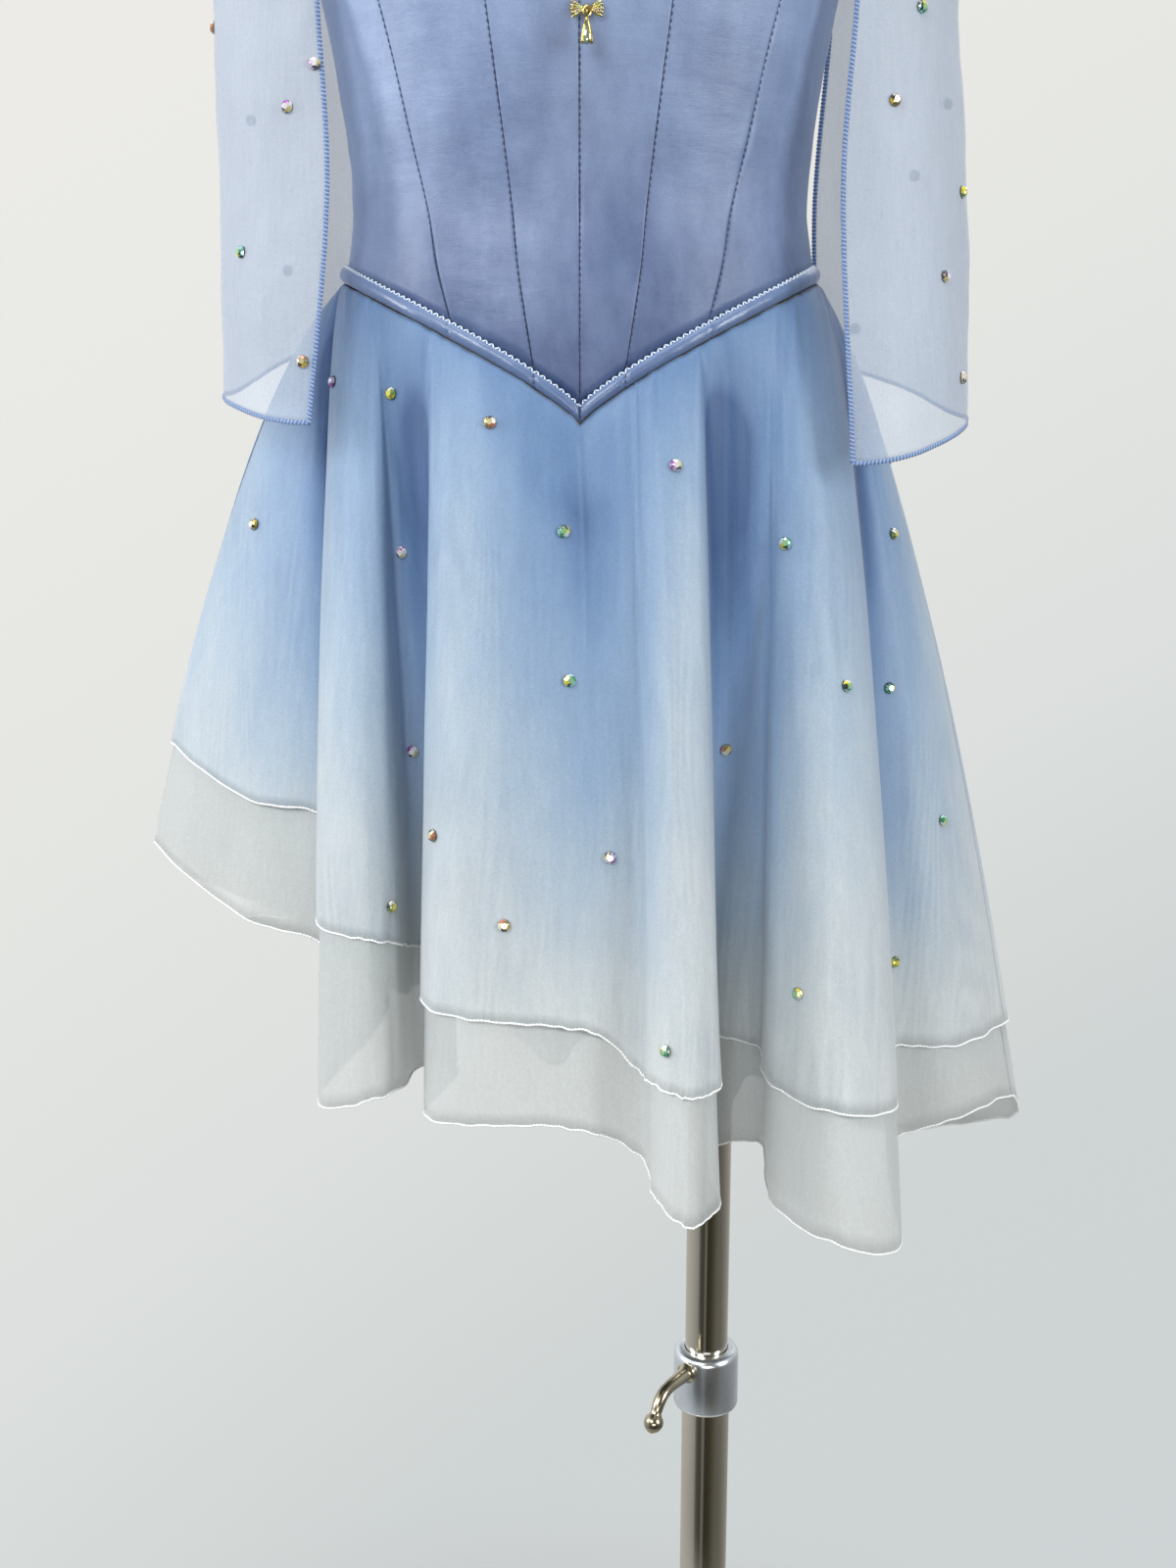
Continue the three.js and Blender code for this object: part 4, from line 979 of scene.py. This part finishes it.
def sleeve_grid(side, table, columns=64, rows=120):
    u = np.linspace(0, 1, columns)
    around = u if side > 0 else 1 - u
    v = np.linspace(0, 1, rows)[:, None]
    hem_z, top_z = table[0][0], table[-1][0]
    tube = sleeve_ring(side, table, around, hem_z + (top_z - hem_z) * np.minimum(v / CAP_SHARE, 1))
    climb = 1 - np.abs(1 - 2 * around)
    hole_z = SLEEVE_START_Z + (SHOULDER_OUTER_Z - SLEEVE_START_Z) * np.sin(climb * np.pi / 2)
    low, high = rows_at(LOWER_ARMHOLE, hole_z)[:, 1], rows_at(STRAP, hole_z)[:, 2]
    hole_angle = np.minimum(np.where(hole_z < ARMHOLE_CORNER_Z, low, high), 90)
    hole_angle = side * np.where(around < 0.5, hole_angle, 180 - hole_angle)
    end = torso_points(hole_angle, hole_z, np.full(hole_z.shape, SLEEVE_SEAM_OUT))
    away = torso_points(hole_angle, hole_z, SLEEVE_SEAM_OUT + SLEEVE_PUFF * np.sin(np.pi * around))
    start = sleeve_ring(side, table, around, np.full(around.shape, float(top_z)))
    lift = start.copy()
    lift[:, 2] += (end[:, 2] - start[:, 2]) * CAP_LIFT
    t = np.clip((v - CAP_SHARE) / (1 - CAP_SHARE), 0, 1)[..., None]
    cap = start * (1 - t) ** 3 + 3 * lift * t * (1 - t) ** 2 + 3 * away * t**2 * (1 - t) + end * t**3
    return around, v, np.where((v <= CAP_SHARE)[..., None], tube, cap)


# %% Sleeves and their edges
sleeve_faces = {}
for word, side, table in (("left", 1, SLEEVE_LEFT_ARM), ("right", -1, SLEEVE_RIGHT_ARM)):
    around, v, grid = sleeve_grid(side, table)
    normals = grid_normals(grid)
    loose = np.clip((1 - v) * 3, 0, 1)
    soft = 1.6 * uneven(grid * (1, 1, 0.45), 26, 3.3) + 0.5 * uneven(grid * (1, 1, 0.5), 9, 8.1)
    middle = grid + normals * (soft * loose)[..., None]
    half = SHEER_WALL / 2
    uv = np.stack(np.broadcast_arrays(around, v), -1)
    sleeve = shell(f"sheer_sleeve_{word}", middle + normals * half, middle - normals * half, uv)
    placed(sleeve, organza, solid=f"sleeve_{word}")
    rim = [(middle[::-1, 0], normals[::-1, 0]), (middle[0], normals[0]), (middle[:, -1], normals[:, -1])]
    path = np.concatenate([rim[0][0], rim[1][0][1:], rim[2][0][1:]])
    out = np.concatenate([rim[0][1], rim[1][1][1:], rim[2][1][1:]])
    edge = overlock(f"sleeve_edge_{word}", path, out, 2.2, 1.0, 1.9, sleeve_thread)
    wraps = edge_wraps(f"sleeve_wraps_{word}", path, out, 2.9, 1.9, wrap_thread)
    sleeve_faces[word] = (side, around, v, middle, normals)

# %% [markdown]
# Flat-backed crystals are scattered over the skirt and the sleeves. One is modelled: a round foot and two rings of
# facets under a small flat top. Each facet stores a colour: the coating's tints, with painted glints and painted dark
# reflections among them.

# %% One crystal
STONE_WIDTH = 6.4
STONE_TOP = 0.39
STONE_FOOT = 0.1
STONE_RIM = srgb(70, 72, 80)
# The colours of one crystal, first its flat top's and then round its facets
# The near-white colours are painted glints and the near-black ones painted dark reflections; the rest are the
# coating's tints.
COATING_TINTS_AND_PAINTED_GLINTS = [
    [srgb(*c) for c in family] for family in (
        [(236, 236, 240), (228, 226, 232), (150, 74, 160), (198, 188, 212), (84, 80, 104), (216, 206, 150)],
        [(222, 214, 96), (232, 214, 52), (124, 160, 84), (228, 230, 218), (74, 80, 56), (150, 176, 96)],
        [(206, 196, 150), (196, 128, 96), (228, 224, 206), (60, 56, 50), (206, 178, 66), (120, 116, 84)],
        [(150, 200, 140), (66, 150, 104), (232, 238, 234), (226, 212, 70), (56, 76, 66), (150, 204, 196)],
    )
]


def stone_shape():
    """Points, faces of a crystal of width 1 whose back is at z 0."""
    lonely()
    bpy.ops.mesh.primitive_cylinder_add(vertices=9, radius=0.5, depth=0.12, location=(0, 0, 0.06))
    bpy.ops.object.transform_apply(location=True, rotation=False, scale=False)
    stone = bpy.context.object
    bpy.ops.object.mode_set(mode="EDIT")
    bpy.ops.mesh.select_mode(type="FACE")
    bpy.ops.mesh.select_all(action="DESELECT")
    bpy.ops.object.mode_set(mode="OBJECT")
    for face in stone.data.polygons:
        face.select = face.normal.z > 0.9
    bpy.ops.object.mode_set(mode="EDIT")
    for width, rise in ((0.74, 0.19), (0.6, 0.09)):
        bpy.ops.mesh.extrude_region_move(TRANSFORM_OT_translate={"value": (0, 0, rise)})
        bpy.ops.transform.resize(value=(width, width, 1), center_override=(0, 0, 0))
        bpy.ops.transform.rotate(value=math.radians(20), orient_axis="Z", center_override=(0, 0, 0))
    bpy.ops.object.mode_set(mode="OBJECT")
    bpy.ops.object.modifier_add(type="TRIANGULATE")
    bpy.ops.object.modifier_apply(modifier="Triangulate")
    points = np.array([v.co for v in stone.data.vertices])
    faces = [list(f.vertices) for f in stone.data.polygons]
    bpy.data.objects.remove(stone)
    return points, faces


STONE_POINTS, STONE_FACES = stone_shape()
STONE_MIDDLES = np.array([STONE_POINTS[f].mean(axis=0) for f in STONE_FACES])
STONE_TURNS = np.arctan2(STONE_MIDDLES[:, 1], STONE_MIDDLES[:, 0]) / (2 * np.pi) + 0.5
print("crystal:", len(STONE_FACES), "facets")

# %% Crystal finish
crystal = Finish("coated_crystal")
facet = crystal.node("ShaderNodeAttribute", attribute_name="facet")
clouding = crystal.noise(crystal.place("Object"), 500)
crystal.paint(Base_Color=facet.outputs["Color"], Roughness=crystal.spread(clouding, 0.05, 0.12))
set_sockets(crystal.shader, Metallic=0.4, Coat_Weight=1.0, Specular_IOR_Level=0.8)
print("finish:", crystal.material.name)


# %% Placing crystals
def stones(name, places, normals, width, seed):
    """Crystals with their backs on these places, facing along the normals, as one piece."""
    picks = np.random.default_rng(seed)
    across = unit(np.cross(normals, np.array([0.13, 0.2, 1.0])))
    upward = unit(np.cross(normals, across))
    spin = picks.uniform(0, 2 * np.pi, len(places))[:, None]
    a = across * np.cos(spin) + upward * np.sin(spin)
    b = unit(np.cross(normals, a))
    points, faces = copies(STONE_POINTS * width, STONE_FACES, places, a, b, normals)
    piece = placed(new_mesh(name, points, faces, smooth=False), crystal.material)
    colours = piece.data.color_attributes.new(name="facet", type="FLOAT_COLOR", domain="CORNER")
    facets = len(STONE_FACES)
    for k in range(len(places)):
        top, *slices = COATING_TINTS_AND_PAINTED_GLINTS[int(picks.integers(len(COATING_TINTS_AND_PAINTED_GLINTS)))]
        around = (STONE_TURNS + picks.uniform()) * len(slices)
        slice_of = (around + picks.uniform(-0.5, 0.5, facets)).astype(int)
        for j, polygon in enumerate(piece.data.polygons[k * facets:(k + 1) * facets]):
            height = STONE_MIDDLES[j, 2]
            sliced = slices[slice_of[j] % len(slices)]
            colour = top if height > STONE_TOP else STONE_RIM if height < STONE_FOOT else sliced
            for corner in polygon.loop_indices:
                colours.data[corner].color = (*colour, 1)


def grid_point(position, share, positions, shares, middle, normals):
    """The cloth's point and normal nearest to a fold row number and a share of the drop."""
    column = int(np.argmin(np.abs(positions - position)))
    row = int(np.argmin(np.abs(shares[:, column] - share)))
    return middle[row, column], normals[row, column]


# %% Crystals on the skirt
# Fold row number and share of the drop for each crystal
SKIRT_STONES = [
    (7.05, 0.121), (10.25, 0.094), (15.35, 0.142), (11.45, 0.201), (0.7, 0.488), (7.2, 0.364), (19.2, 0.305),
    (23.05, 0.321), (11.5, 0.434), (20.4, 0.488), (22.4, 0.515), (7.2, 0.666), (17.2, 0.571), (9.45, 0.725),
    (23.25, 0.686), (12.35, 0.686), (5.9, 0.948), (10.5, 0.835), (19.5, 0.865), (14.6, 0.937), (22.15, 0.886),
    (4.3, 0.149),
]
BACK_STONES = [
    (24.6, 0.22), (25.7, 0.58), (26.9, 0.12), (27.6, 0.4), (28.4, 0.78), (29.5, 0.25), (30.3, 0.55), (31.2, 0.9),
    (31.9, 0.16), (32.8, 0.42), (33.7, 0.7), (34.6, 0.2), (35.5, 0.5), (36.2, 0.84), (37.1, 0.3), (38.2, 0.62),
    (39.3, 0.17), (39.9, 0.44),
]


def stones_on_layer(name, start, end, table, seed):
    position, share, _, normals, _ = skirt_grid(start, end, False)
    middle = skirt_halves["outer", "front" if start == 0 else "back"][2]
    found = [grid_point(p, s, position, share, middle, normals) for p, s in table]
    places, out = (np.array(column) for column in zip(*found))
    stones(name, places + out * SHEER_WALL / 2, out, STONE_WIDTH, seed)


stones_on_layer("crystals_skirt_front", 0, FRONT_COUNT, SKIRT_STONES, 11)
stones_on_layer("crystals_skirt_back", FRONT_COUNT, len(FOLDS), BACK_STONES, 12)
print("crystals on the skirt:", len(SKIRT_STONES) + len(BACK_STONES))

# %% Crystals on the sleeves
# Share of the way round from the front edge to the back edge, and share of the way up from the hem
SLEEVE_STONES = {
    "right": [
        (0.095, 0.403), (0.254, 0.21), (0.032, 0.076), (0.46, 0.538), (0.012, 0.462), (0.81, 0.176),
        (0.7, 0.42), (0.3, 0.66), (0.62, 0.72), (0.5, 0.86),
    ],
    "left": [
        (0.19, 0.546), (0.111, 0.42), (0.349, 0.311), (0.254, 0.202), (0.333, 0.067), (0.603, 0.445),
        (0.746, 0.353), (0.905, 0.084), (0.32, 0.7), (0.66, 0.68), (0.48, 0.88),
    ],
}
for word, table in SLEEVE_STONES.items():
    side, around, v, middle, normals = sleeve_faces[word]
    columns = [int(np.argmin(np.abs(around - a))) for a, _ in table]
    rows = [int(np.argmin(np.abs(v[:, 0] - h))) for _, h in table]
    out = normals[rows, columns]
    places = middle[rows, columns] + out * SHEER_WALL / 2
    stones(f"crystals_sleeve_{word}", places, out, STONE_WIDTH, 20 + side)
print("crystals on the sleeves:", sum(len(t) for t in SLEEVE_STONES.values()))

# %% [markdown]
# A small gold bow is pinned at the top of the centre seam, with a drop that swings from it on a ring.
# Each wing is a ribbed fan set with tiny crystals. The drop is a long crystal held in gold claws.

# %% Gold
gold = Finish("brooch_gold")
tarnish = gold.noise(gold.place("Object"), 260, detail=4)
yellow = gold.ramp(tarnish, [(0.35, srgb(168, 144, 76)), (0.65, srgb(222, 206, 136))])
gold.paint(Base_Color=yellow, Roughness=gold.spread(tarnish, 0.14, 0.3))
gold.bumps((gold.noise(gold.place("Object"), 1400), 0.00008))
set_sockets(gold.shader, Metallic=1.0)

BROOCH_X, BROOCH_Z = 3.5, 1114
bow_back_y = float(torso_points(0, BROOCH_Z + 5, BODICE_FACE + SEAM_GAP)[1])
bow_face_y = bow_back_y - 2.0
RING_Z = BROOCH_Z - 1.4
RING_Y = bow_face_y - 2.95
print("bow from y", round(bow_back_y, 2), "to", round(bow_face_y, 2), "mm")


# %% Bow
def joined(name, parts, smooth_angle=40):
    """Several objects joined as one named piece, at the origin."""
    lonely()
    for part in parts:
        part.select_set(True)
    bpy.context.view_layer.objects.active = parts[0]
    bpy.ops.object.transform_apply(location=True, rotation=True, scale=True)
    bpy.ops.object.join()
    piece = bpy.context.object
    piece.name = name
    piece.data.name = name
    bpy.ops.object.shade_smooth_by_angle(angle=math.radians(smooth_angle))
    return piece


def in_metres(*lengths):
    return tuple(length * MM for length in lengths)


def oval(segments, rings, centre, half_sizes, turn=(0, 0, 0)):
    """A ball stretched to its half sizes, all in millimetres."""
    lonely()
    bpy.ops.mesh.primitive_uv_sphere_add(
        segments=segments, ring_count=rings, radius=1, location=in_metres(*centre), rotation=turn
    )
    bpy.context.object.scale = in_metres(*half_sizes)
    return bpy.context.object


def wire_ring(segments, radius, wire, z, turn):
    """A ring of round wire at the brooch's middle."""
    lonely()
    bpy.ops.mesh.primitive_torus_add(
        major_segments=segments, minor_segments=8, major_radius=radius * MM, minor_radius=wire * MM,
        location=in_metres(BROOCH_X, RING_Y, z), rotation=turn,
    )
    return bpy.context.object


def on_rib(side, rib, reach, y):
    """A point of the bow: how far out along which of a wing's five ribs."""
    tilt = math.radians(-32 + 16 * rib + (4 if side > 0 else 0))
    return tilt, (BROOCH_X + side * (1.2 + reach * math.cos(tilt)), y, BROOCH_Z + 0.6 + reach * math.sin(tilt))


ribs = []
for side in (1, -1):
    for rib in range(5):
        tilt, centre = on_rib(side, rib, 3.5, (bow_back_y + bow_face_y) / 2)
        ribs.append(oval(14, 8, centre, (3.2, 1.0, 0.95), (0, -side * tilt, 0)))
knot = oval(18, 10, (BROOCH_X, bow_face_y + 0.7, BROOCH_Z + 0.5), (2.0, 1.3, 2.1))
loop = wire_ring(24, 0.9, 0.35, RING_Z + 0.2, (0, math.radians(90), 0))
bow = joined("gold_bow", [*ribs, knot, loop])
placed(bow, gold.material, solid="brooch_bow")
print("bow:", len(bow.data.polygons), "faces")

# %% Tiny crystals on the bow
tiny = [
    on_rib(side, rib, reach, bow_face_y + 0.25)[1]
    for side in (1, -1) for rib in range(5) for reach in (2.2, 3.6, 5.0)
]
tiny = np.array([*tiny, (BROOCH_X, bow_face_y - 0.55, BROOCH_Z + 0.7)])
facing = np.tile([[0.0, -1.0, 0.0]], (len(tiny), 1))
stones("bow_crystals", tiny, facing, 1.15, 31)
print("crystals on the bow:", len(tiny))

# %% Hanging drop
ring = wire_ring(28, 1.8, 0.42, RING_Z, (math.radians(90), 0, 0))
# The drop's outline below its ring: radius and height, from the tip up
PEAR = [
    (0, -13.6), (1.6, -13.3), (2.6, -12.4), (3.0, -11.0), (2.7, -8.8), (1.9, -6.2), (1.1, -4.0), (0.7, -2.3),
    (0, -2.0),
]
body = spun("drop_outline", PEAR, closed=False, steps=16)
body.location = in_metres(BROOCH_X, RING_Y, RING_Z)


def beside_drop(turn, reach, below):
    """A point round the drop's axis, below its ring."""
    return BROOCH_X + reach * math.cos(turn), RING_Y + reach * math.sin(turn), RING_Z - below


def bead(radius, centre):
    lonely()
    bpy.ops.mesh.primitive_ico_sphere_add(subdivisions=2, radius=radius * MM, location=in_metres(*centre))
    return bpy.context.object


claws = []
for k in range(4):
    turn = math.radians(45 + 90 * k)
    claws.append(oval(10, 8, beside_drop(turn, 2.2, 8.0), (0.62, 0.62, 5.2), (0, -math.radians(13), turn)))
    claws.append(bead(0.85, beside_drop(turn, 2.9, 12.3)))
cap = bead(0.95, (BROOCH_X, RING_Y, RING_Z - 2.8))
drop_gold = joined("gold_drop", [ring, cap, *claws])
placed(drop_gold, gold.material, "drop", "brooch_drop")

clear = Finish("drop_crystal")
depth = clear.noise(clear.place("Object"), 420, detail=2)
smoky = clear.ramp(depth, [(0.35, srgb(70, 82, 62)), (0.6, srgb(178, 188, 158))])
clear.paint(Base_Color=smoky, Roughness=clear.spread(depth, 0.05, 0.14))
set_sockets(clear.shader, Metallic=0.6, Coat_Weight=1.0, Specular_IOR_Level=0.8)
drop_stone = joined("drop_stone", [body], 30)
placed(drop_stone, clear.material, "drop")
print("drop:", len(drop_gold.data.polygons) + len(drop_stone.data.polygons), "faces")

# %% [markdown]
# The form is a smooth torso with a neck and no limbs. A copy of its solid is merged and subdivided, which rounds
# off the flat facets and keeps it inside the cloth. Its cover is matt off-white jersey.

# %% Dress form
cover = Finish("form_cover")
tint = cover.noise(cover.place("Object"), 7, detail=3)
cover.paint(Base_Color=cover.ramp(tint, [(0.3, srgb(190, 186, 176)), (0.7, srgb(206, 202, 192))]))
knit = cover.noise(cover.place("Object", scale=(900, 900, 420)), 1, detail=2)
cover.bumps((knit, 0.00018))
set_sockets(cover.shader, Roughness=0.78, Sheen_Weight=0.15, Sheen_Roughness=0.5)

form = bpy.data.objects.new("dress_form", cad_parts["form"].data.copy())
bpy.context.scene.collection.objects.link(form)
chosen(form)
bpy.ops.object.mode_set(mode="EDIT")
bpy.ops.mesh.select_all(action="SELECT")
bpy.ops.mesh.remove_doubles(threshold=0.00002)
bpy.ops.mesh.tris_convert_to_quads(face_threshold=math.radians(60), shape_threshold=math.radians(60))
bpy.ops.object.mode_set(mode="OBJECT")
bpy.ops.object.modifier_add(type="SUBSURF")
form.modifiers[-1].levels = 2
form.modifiers[-1].render_levels = 2
bpy.ops.object.modifier_apply(modifier=form.modifiers[-1].name)
bpy.ops.object.shade_smooth()
placed(form, cover.material, solid="form")
print("form:", len(form.data.polygons), "faces")

# %% [markdown]
# The stand is a chromed tube that slides in a wider one and is held by a collar with a lever screw.
# Each turned part starts as a cylinder at its real size, gets its bore by an inset and a bridge between its ends, and
# is bevelled.


# %% Chrome
def metal_finish(name, dark, light, low, high):
    metal = Finish(name)
    haze = metal.noise(metal.place("Object", scale=(1, 1, 0.15)), 60, detail=4)
    rubbed = metal.noise(metal.place("Object", scale=(1, 1, 9)), 240, detail=4)
    metal.paint(Base_Color=metal.ramp(haze, [(0.3, dark), (0.7, light)]), Roughness=metal.spread(rubbed, low, high))
    metal.bumps((rubbed, 0.00002))
    set_sockets(metal.shader, Metallic=1.0)
    return metal.material


tube_chrome = metal_finish("stand_chrome", srgb(198, 192, 177), srgb(211, 205, 190), 0.08, 0.16)
collar_chrome = metal_finish("collar_chrome", srgb(204, 213, 222), srgb(236, 241, 247), 0.2, 0.3)
lever_nickel = metal_finish("lever_nickel", srgb(146, 138, 116), srgb(198, 190, 168), 0.14, 0.28)
print("metal finishes: 3")


# %% Turned parts
POLE_X = 74


def chosen_faces(piece, test):
    """Enters edit mode with only the faces selected whose normal and centre pass the test."""
    bpy.ops.object.mode_set(mode="EDIT")
    bpy.ops.mesh.select_mode(type="FACE")
    bpy.ops.mesh.select_all(action="DESELECT")
    bpy.ops.object.mode_set(mode="OBJECT")
    for face in piece.data.polygons:
        face.select = test(face.normal, face.center)
    bpy.ops.object.mode_set(mode="EDIT")


def turned_part(name, node, x, radius, bottom, top, bore, bevel, body, sides=96):
    """A cylinder with a bore right through it, or none, and bevelled rims."""
    lonely()
    bpy.ops.mesh.primitive_cylinder_add(
        vertices=sides, radius=radius * MM, depth=(top - bottom) * MM, location=in_metres(x, 0, (bottom + top) / 2)
    )
    piece = bpy.context.object
    piece.name = name
    piece.data.name = name
    bpy.ops.object.transform_apply(location=True, rotation=True, scale=True)
    if bore:
        chosen_faces(piece, lambda normal, centre: abs(normal.z) > 0.9)
        bpy.ops.mesh.inset(thickness=(radius - bore) * MM, depth=0)
        bpy.ops.mesh.bridge_edge_loops()
        bpy.ops.object.mode_set(mode="OBJECT")
    bpy.ops.object.modifier_add(type="BEVEL")
    piece.modifiers[-1].width = bevel * MM
    piece.modifiers[-1].segments = 3
    piece.modifiers[-1].limit_method = "ANGLE"
    piece.modifiers[-1].angle_limit = math.radians(50)
    bpy.ops.object.modifier_apply(modifier=piece.modifiers[-1].name)
    bpy.ops.object.shade_smooth_by_angle(angle=math.radians(35))
    placed(piece, tube_chrome, body, node)
    print(f"{name}: {len(piece.data.polygons)} faces")


turned_part("chrome_base_plate", "base_plate", 0, 160, 0, 8, 0, 2.4, "stand", 160)
turned_part("chrome_base_socket", "base_socket", POLE_X, 22, 8.3, 30, 14.3, 2.5, "stand")
turned_part("chrome_lower_tube", "lower_tube", POLE_X, 14, 8.3, 387.6, 12.8, 0.3, "stand")
turned_part("chrome_upper_tube", "upper_tube", POLE_X, 12.5, 190, 813.3, 11.3, 0.4, "mast")
turned_part("chrome_form_flange", "form_flange", POLE_X, 20, 807.7, 819.7, 12.8, 1.6, "dressed_form")

# %% Collar
# Radius and height of the collar's outline, outside and then up the bore
COLLAR = [
    (14.3, 357.5), (17.6, 357.5), (18.6, 358.2), (19, 359.6), (19, 389.6), (18.6, 391.6), (17.4, 393.2), (15.6, 393.9),
    (12.9, 394), (12.9, 388), (14.3, 387.9),
]
collar = spun("chrome_collar", COLLAR, closed=True, steps=96)
collar.location = (POLE_X * MM, 0, 0)
bpy.ops.object.transform_apply(location=True, rotation=False, scale=False)
bpy.ops.object.shade_smooth_by_angle(angle=math.radians(40))
placed(collar, collar_chrome, "stand", "clamp_collar")
print("collar:", len(collar.data.polygons), "faces")

# %% Lever
# Distance from the pole's axis, height above the screw, and radius, along the bent lever to its ball
LEVER_Z = 386
LEVER_WAY = Vector((-0.6, -0.8, 0))
LEVER = [
    (19.3, 0, 5.6), (20.6, 0, 6), (21.9, 0, 5.8), (22.6, 0, 4.5), (24, 0, 4.3), (32, 0, 3.8), (38, -0.1, 3.65),
    (42, -0.8, 3.6), (45, -1.9, 3.6), (47.6, -3.8, 3.55), (49.6, -6.2, 3.45), (51, -8.6, 3.3),
    (51.9, -10.4, 3.1), (52.4, -11.4, 3.7), (53, -12.6, 4.8), (53.8, -14.2, 5.5), (54.6, -16, 5.6),
    (55.4, -17.8, 4.9), (56, -19.2, 3.8), (56.5, -20.2, 2.4), (56.7, -20.8, 1.0),
]
lever_rows = np.array(LEVER)
centres = np.array([np.array(LEVER_WAY) * reach for reach in lever_rows[:, 0]])
centres[:, 0] += POLE_X
centres[:, 2] += LEVER_Z + lever_rows[:, 1]
ahead = unit(np.gradient(centres, axis=0))
across = np.tile(np.array(Vector((0, 0, 1)).cross(LEVER_WAY)), (len(centres), 1))
upward = unit(np.cross(ahead, across))
turn = np.linspace(0, 2 * np.pi, 25)[:-1]
ring = across[:, None] * np.cos(turn)[:, None] + upward[:, None] * np.sin(turn)[:, None]
points = centres[:, None] + ring * lever_rows[:, 2][:, None, None]
lever = new_mesh("bent_lever", points.reshape(-1, 3), tube_faces(*points.shape[:2]))
chosen(lever)
closed_and_outward()
placed(lever, lever_nickel, "lever", "clamp_lever")
print("lever:", len(lever.data.polygons), "faces")

# %% [markdown]
# The photograph has a pale wall, light from the upper left, and a darker room behind the camera.
# The sky shows a pale backdrop wherever it is seen directly, with painted light that makes it lighter towards the
# upper left, and lights the dress like that room.
# The floor is a small pale disc that fades into the backdrop, so that no edge shows round it.


# %% Floor
lonely()
bpy.ops.mesh.primitive_circle_add(vertices=96, radius=0.7, fill_type="NGON", location=(0, 0, 0))
floor = bpy.context.object
floor.name = "studio_floor"
floor_paint = Finish("floor_paint")
ball = floor_paint.node("ShaderNodeTexGradient", gradient_type="SPHERICAL")
floor_paint.link(floor_paint.place("Object", scale=(1.5, 1.5, 1.5)), ball.inputs["Vector"])
fading = floor_paint.ramp(ball.outputs["Fac"], [(0.3, (0, 0, 0)), (0.7, (1, 1, 1))], smooth=True)
floor_tone = floor_paint.noise(floor_paint.place("Object"), 3)
greys = floor_paint.ramp(floor_tone, [(0.3, srgb(166, 168, 168)), (0.7, srgb(172, 174, 174))])
floor_paint.paint(Alpha=fading, Base_Color=greys)
set_sockets(floor_paint.shader, Roughness=0.9, Specular_IOR_Level=0.1)
floor.data.materials.append(floor_paint.material)
floor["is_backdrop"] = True


# %% Sky and lights
class Sky(Finish):
    """The world, with the same short words for its nodes."""

    def __init__(self, name):
        self.world = bpy.data.worlds.new(name)
        self.world.use_nodes = True
        self.tree = self.world.node_tree
        self.shader = self.tree.nodes["Background"]

    def towards(self, way):
        """How far each direction of the sky points the given way."""
        made = self.node("ShaderNodeVectorMath", operation="DOT_PRODUCT")
        made.inputs[1].default_value = way
        self.link(self.place("Generated"), made.inputs[0])
        return made.outputs["Value"]


sky = Sky("pale_sky")
bpy.context.scene.world = sky.world
# Painted light on the backdrop: lighter up and to the left, darker low down.
backdrop_with_painted_light = sky.ramp(sky.spread(sky.towards((-0.6, 0, 1)), 0, 1, -0.8, 0.3), [
    (0, srgb(206, 212, 213)), (0.25, srgb(207, 212, 212)), (0.45, srgb(221, 224, 222)),
    (0.73, srgb(231, 232, 228)), (1, srgb(236, 235, 231)),
])
around = sky.node("ShaderNodeTexGradient", gradient_type="RADIAL")
sky.link(sky.place("Generated"), around.inputs["Vector"])
windows = sky.ramp(around.outputs["Fac"], [
    (0.0, (1, 1, 1)), (0.1, (0.9, 0.95, 1)), (0.13, (0.3, 0.3, 0.26)), (0.19, (0.22, 0.21, 0.18)),
    (0.2, (0.75, 0.74, 0.7)), (0.225, (0.8, 0.8, 0.76)), (0.235, (0.16, 0.15, 0.12)), (0.3, (0.3, 0.27, 0.2)),
    (0.34, (0.52, 0.49, 0.38)), (0.39, (0.8, 0.8, 0.76)), (0.52, (1, 1, 1)), (1.0, (1, 1, 1)),
])
lit = sky.spread(sky.towards((-0.35, 0.45, 0.8)), 0.2, 0.95, -0.8, 0.9)
room = sky.mixed(1.0, windows, lit, "MULTIPLY")
seen = sky.node("ShaderNodeLightPath").outputs["Is Camera Ray"]
sky.link(sky.mixed(seen, room, backdrop_with_painted_light), sky.shader.inputs["Color"])


def soft_light(name, place, aim, size, power, colour=(1, 1, 1)):
    data = bpy.data.lights.new(name, "AREA")
    data.shape = "RECTANGLE"
    data.size, data.size_y = size
    data.energy = power
    data.color = colour
    light = bpy.data.objects.new(name, data)
    light.location = place
    light.rotation_euler = (Vector(aim) - Vector(place)).to_track_quat("-Z", "Y").to_euler()
    light.visible_camera = False
    bpy.context.scene.collection.objects.link(light)


soft_light("key_light", (-1.2, -1.9, 2.2), (0, 0, 0.9), (1.1, 0.9), 38, (1, 0.99, 0.97))
soft_light("side_light", (-2.3, -0.3, 1.5), (0, 0, 0.9), (0.8, 1.2), 30)
soft_light("fill_light", (2.0, -1.3, 1.4), (0, 0, 0.9), (0.8, 1.2), 34, (0.98, 0.99, 1))
soft_light("low_light", (0.1, -2.2, 0.55), (0, 0, 1.0), (1.2, 0.4), 12)
soft_light("top_light", (0, -0.4, 2.8), (0, 0, 0.9), (1.2, 0.8), 12)
soft_light("back_light", (0.8, 1.8, 2.2), (0, 0, 0.9), (1.4, 1.0), 14)
bpy.context.scene.view_settings.view_transform = "Standard"
print("lights: 6")

# %% Sizes and the last line
visual_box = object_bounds()
sizes = {"cad": [list(map(float, corner)) for corner in cad_box], "visual": [list(map(float, corner)) for corner in visual_box]}
for low_high, cad, seen in zip(("lowest", "highest"), sizes["cad"], sizes["visual"]):
    print(low_high, "solids", [round(c, 4) for c in cad], "pieces", [round(c, 4) for c in seen])
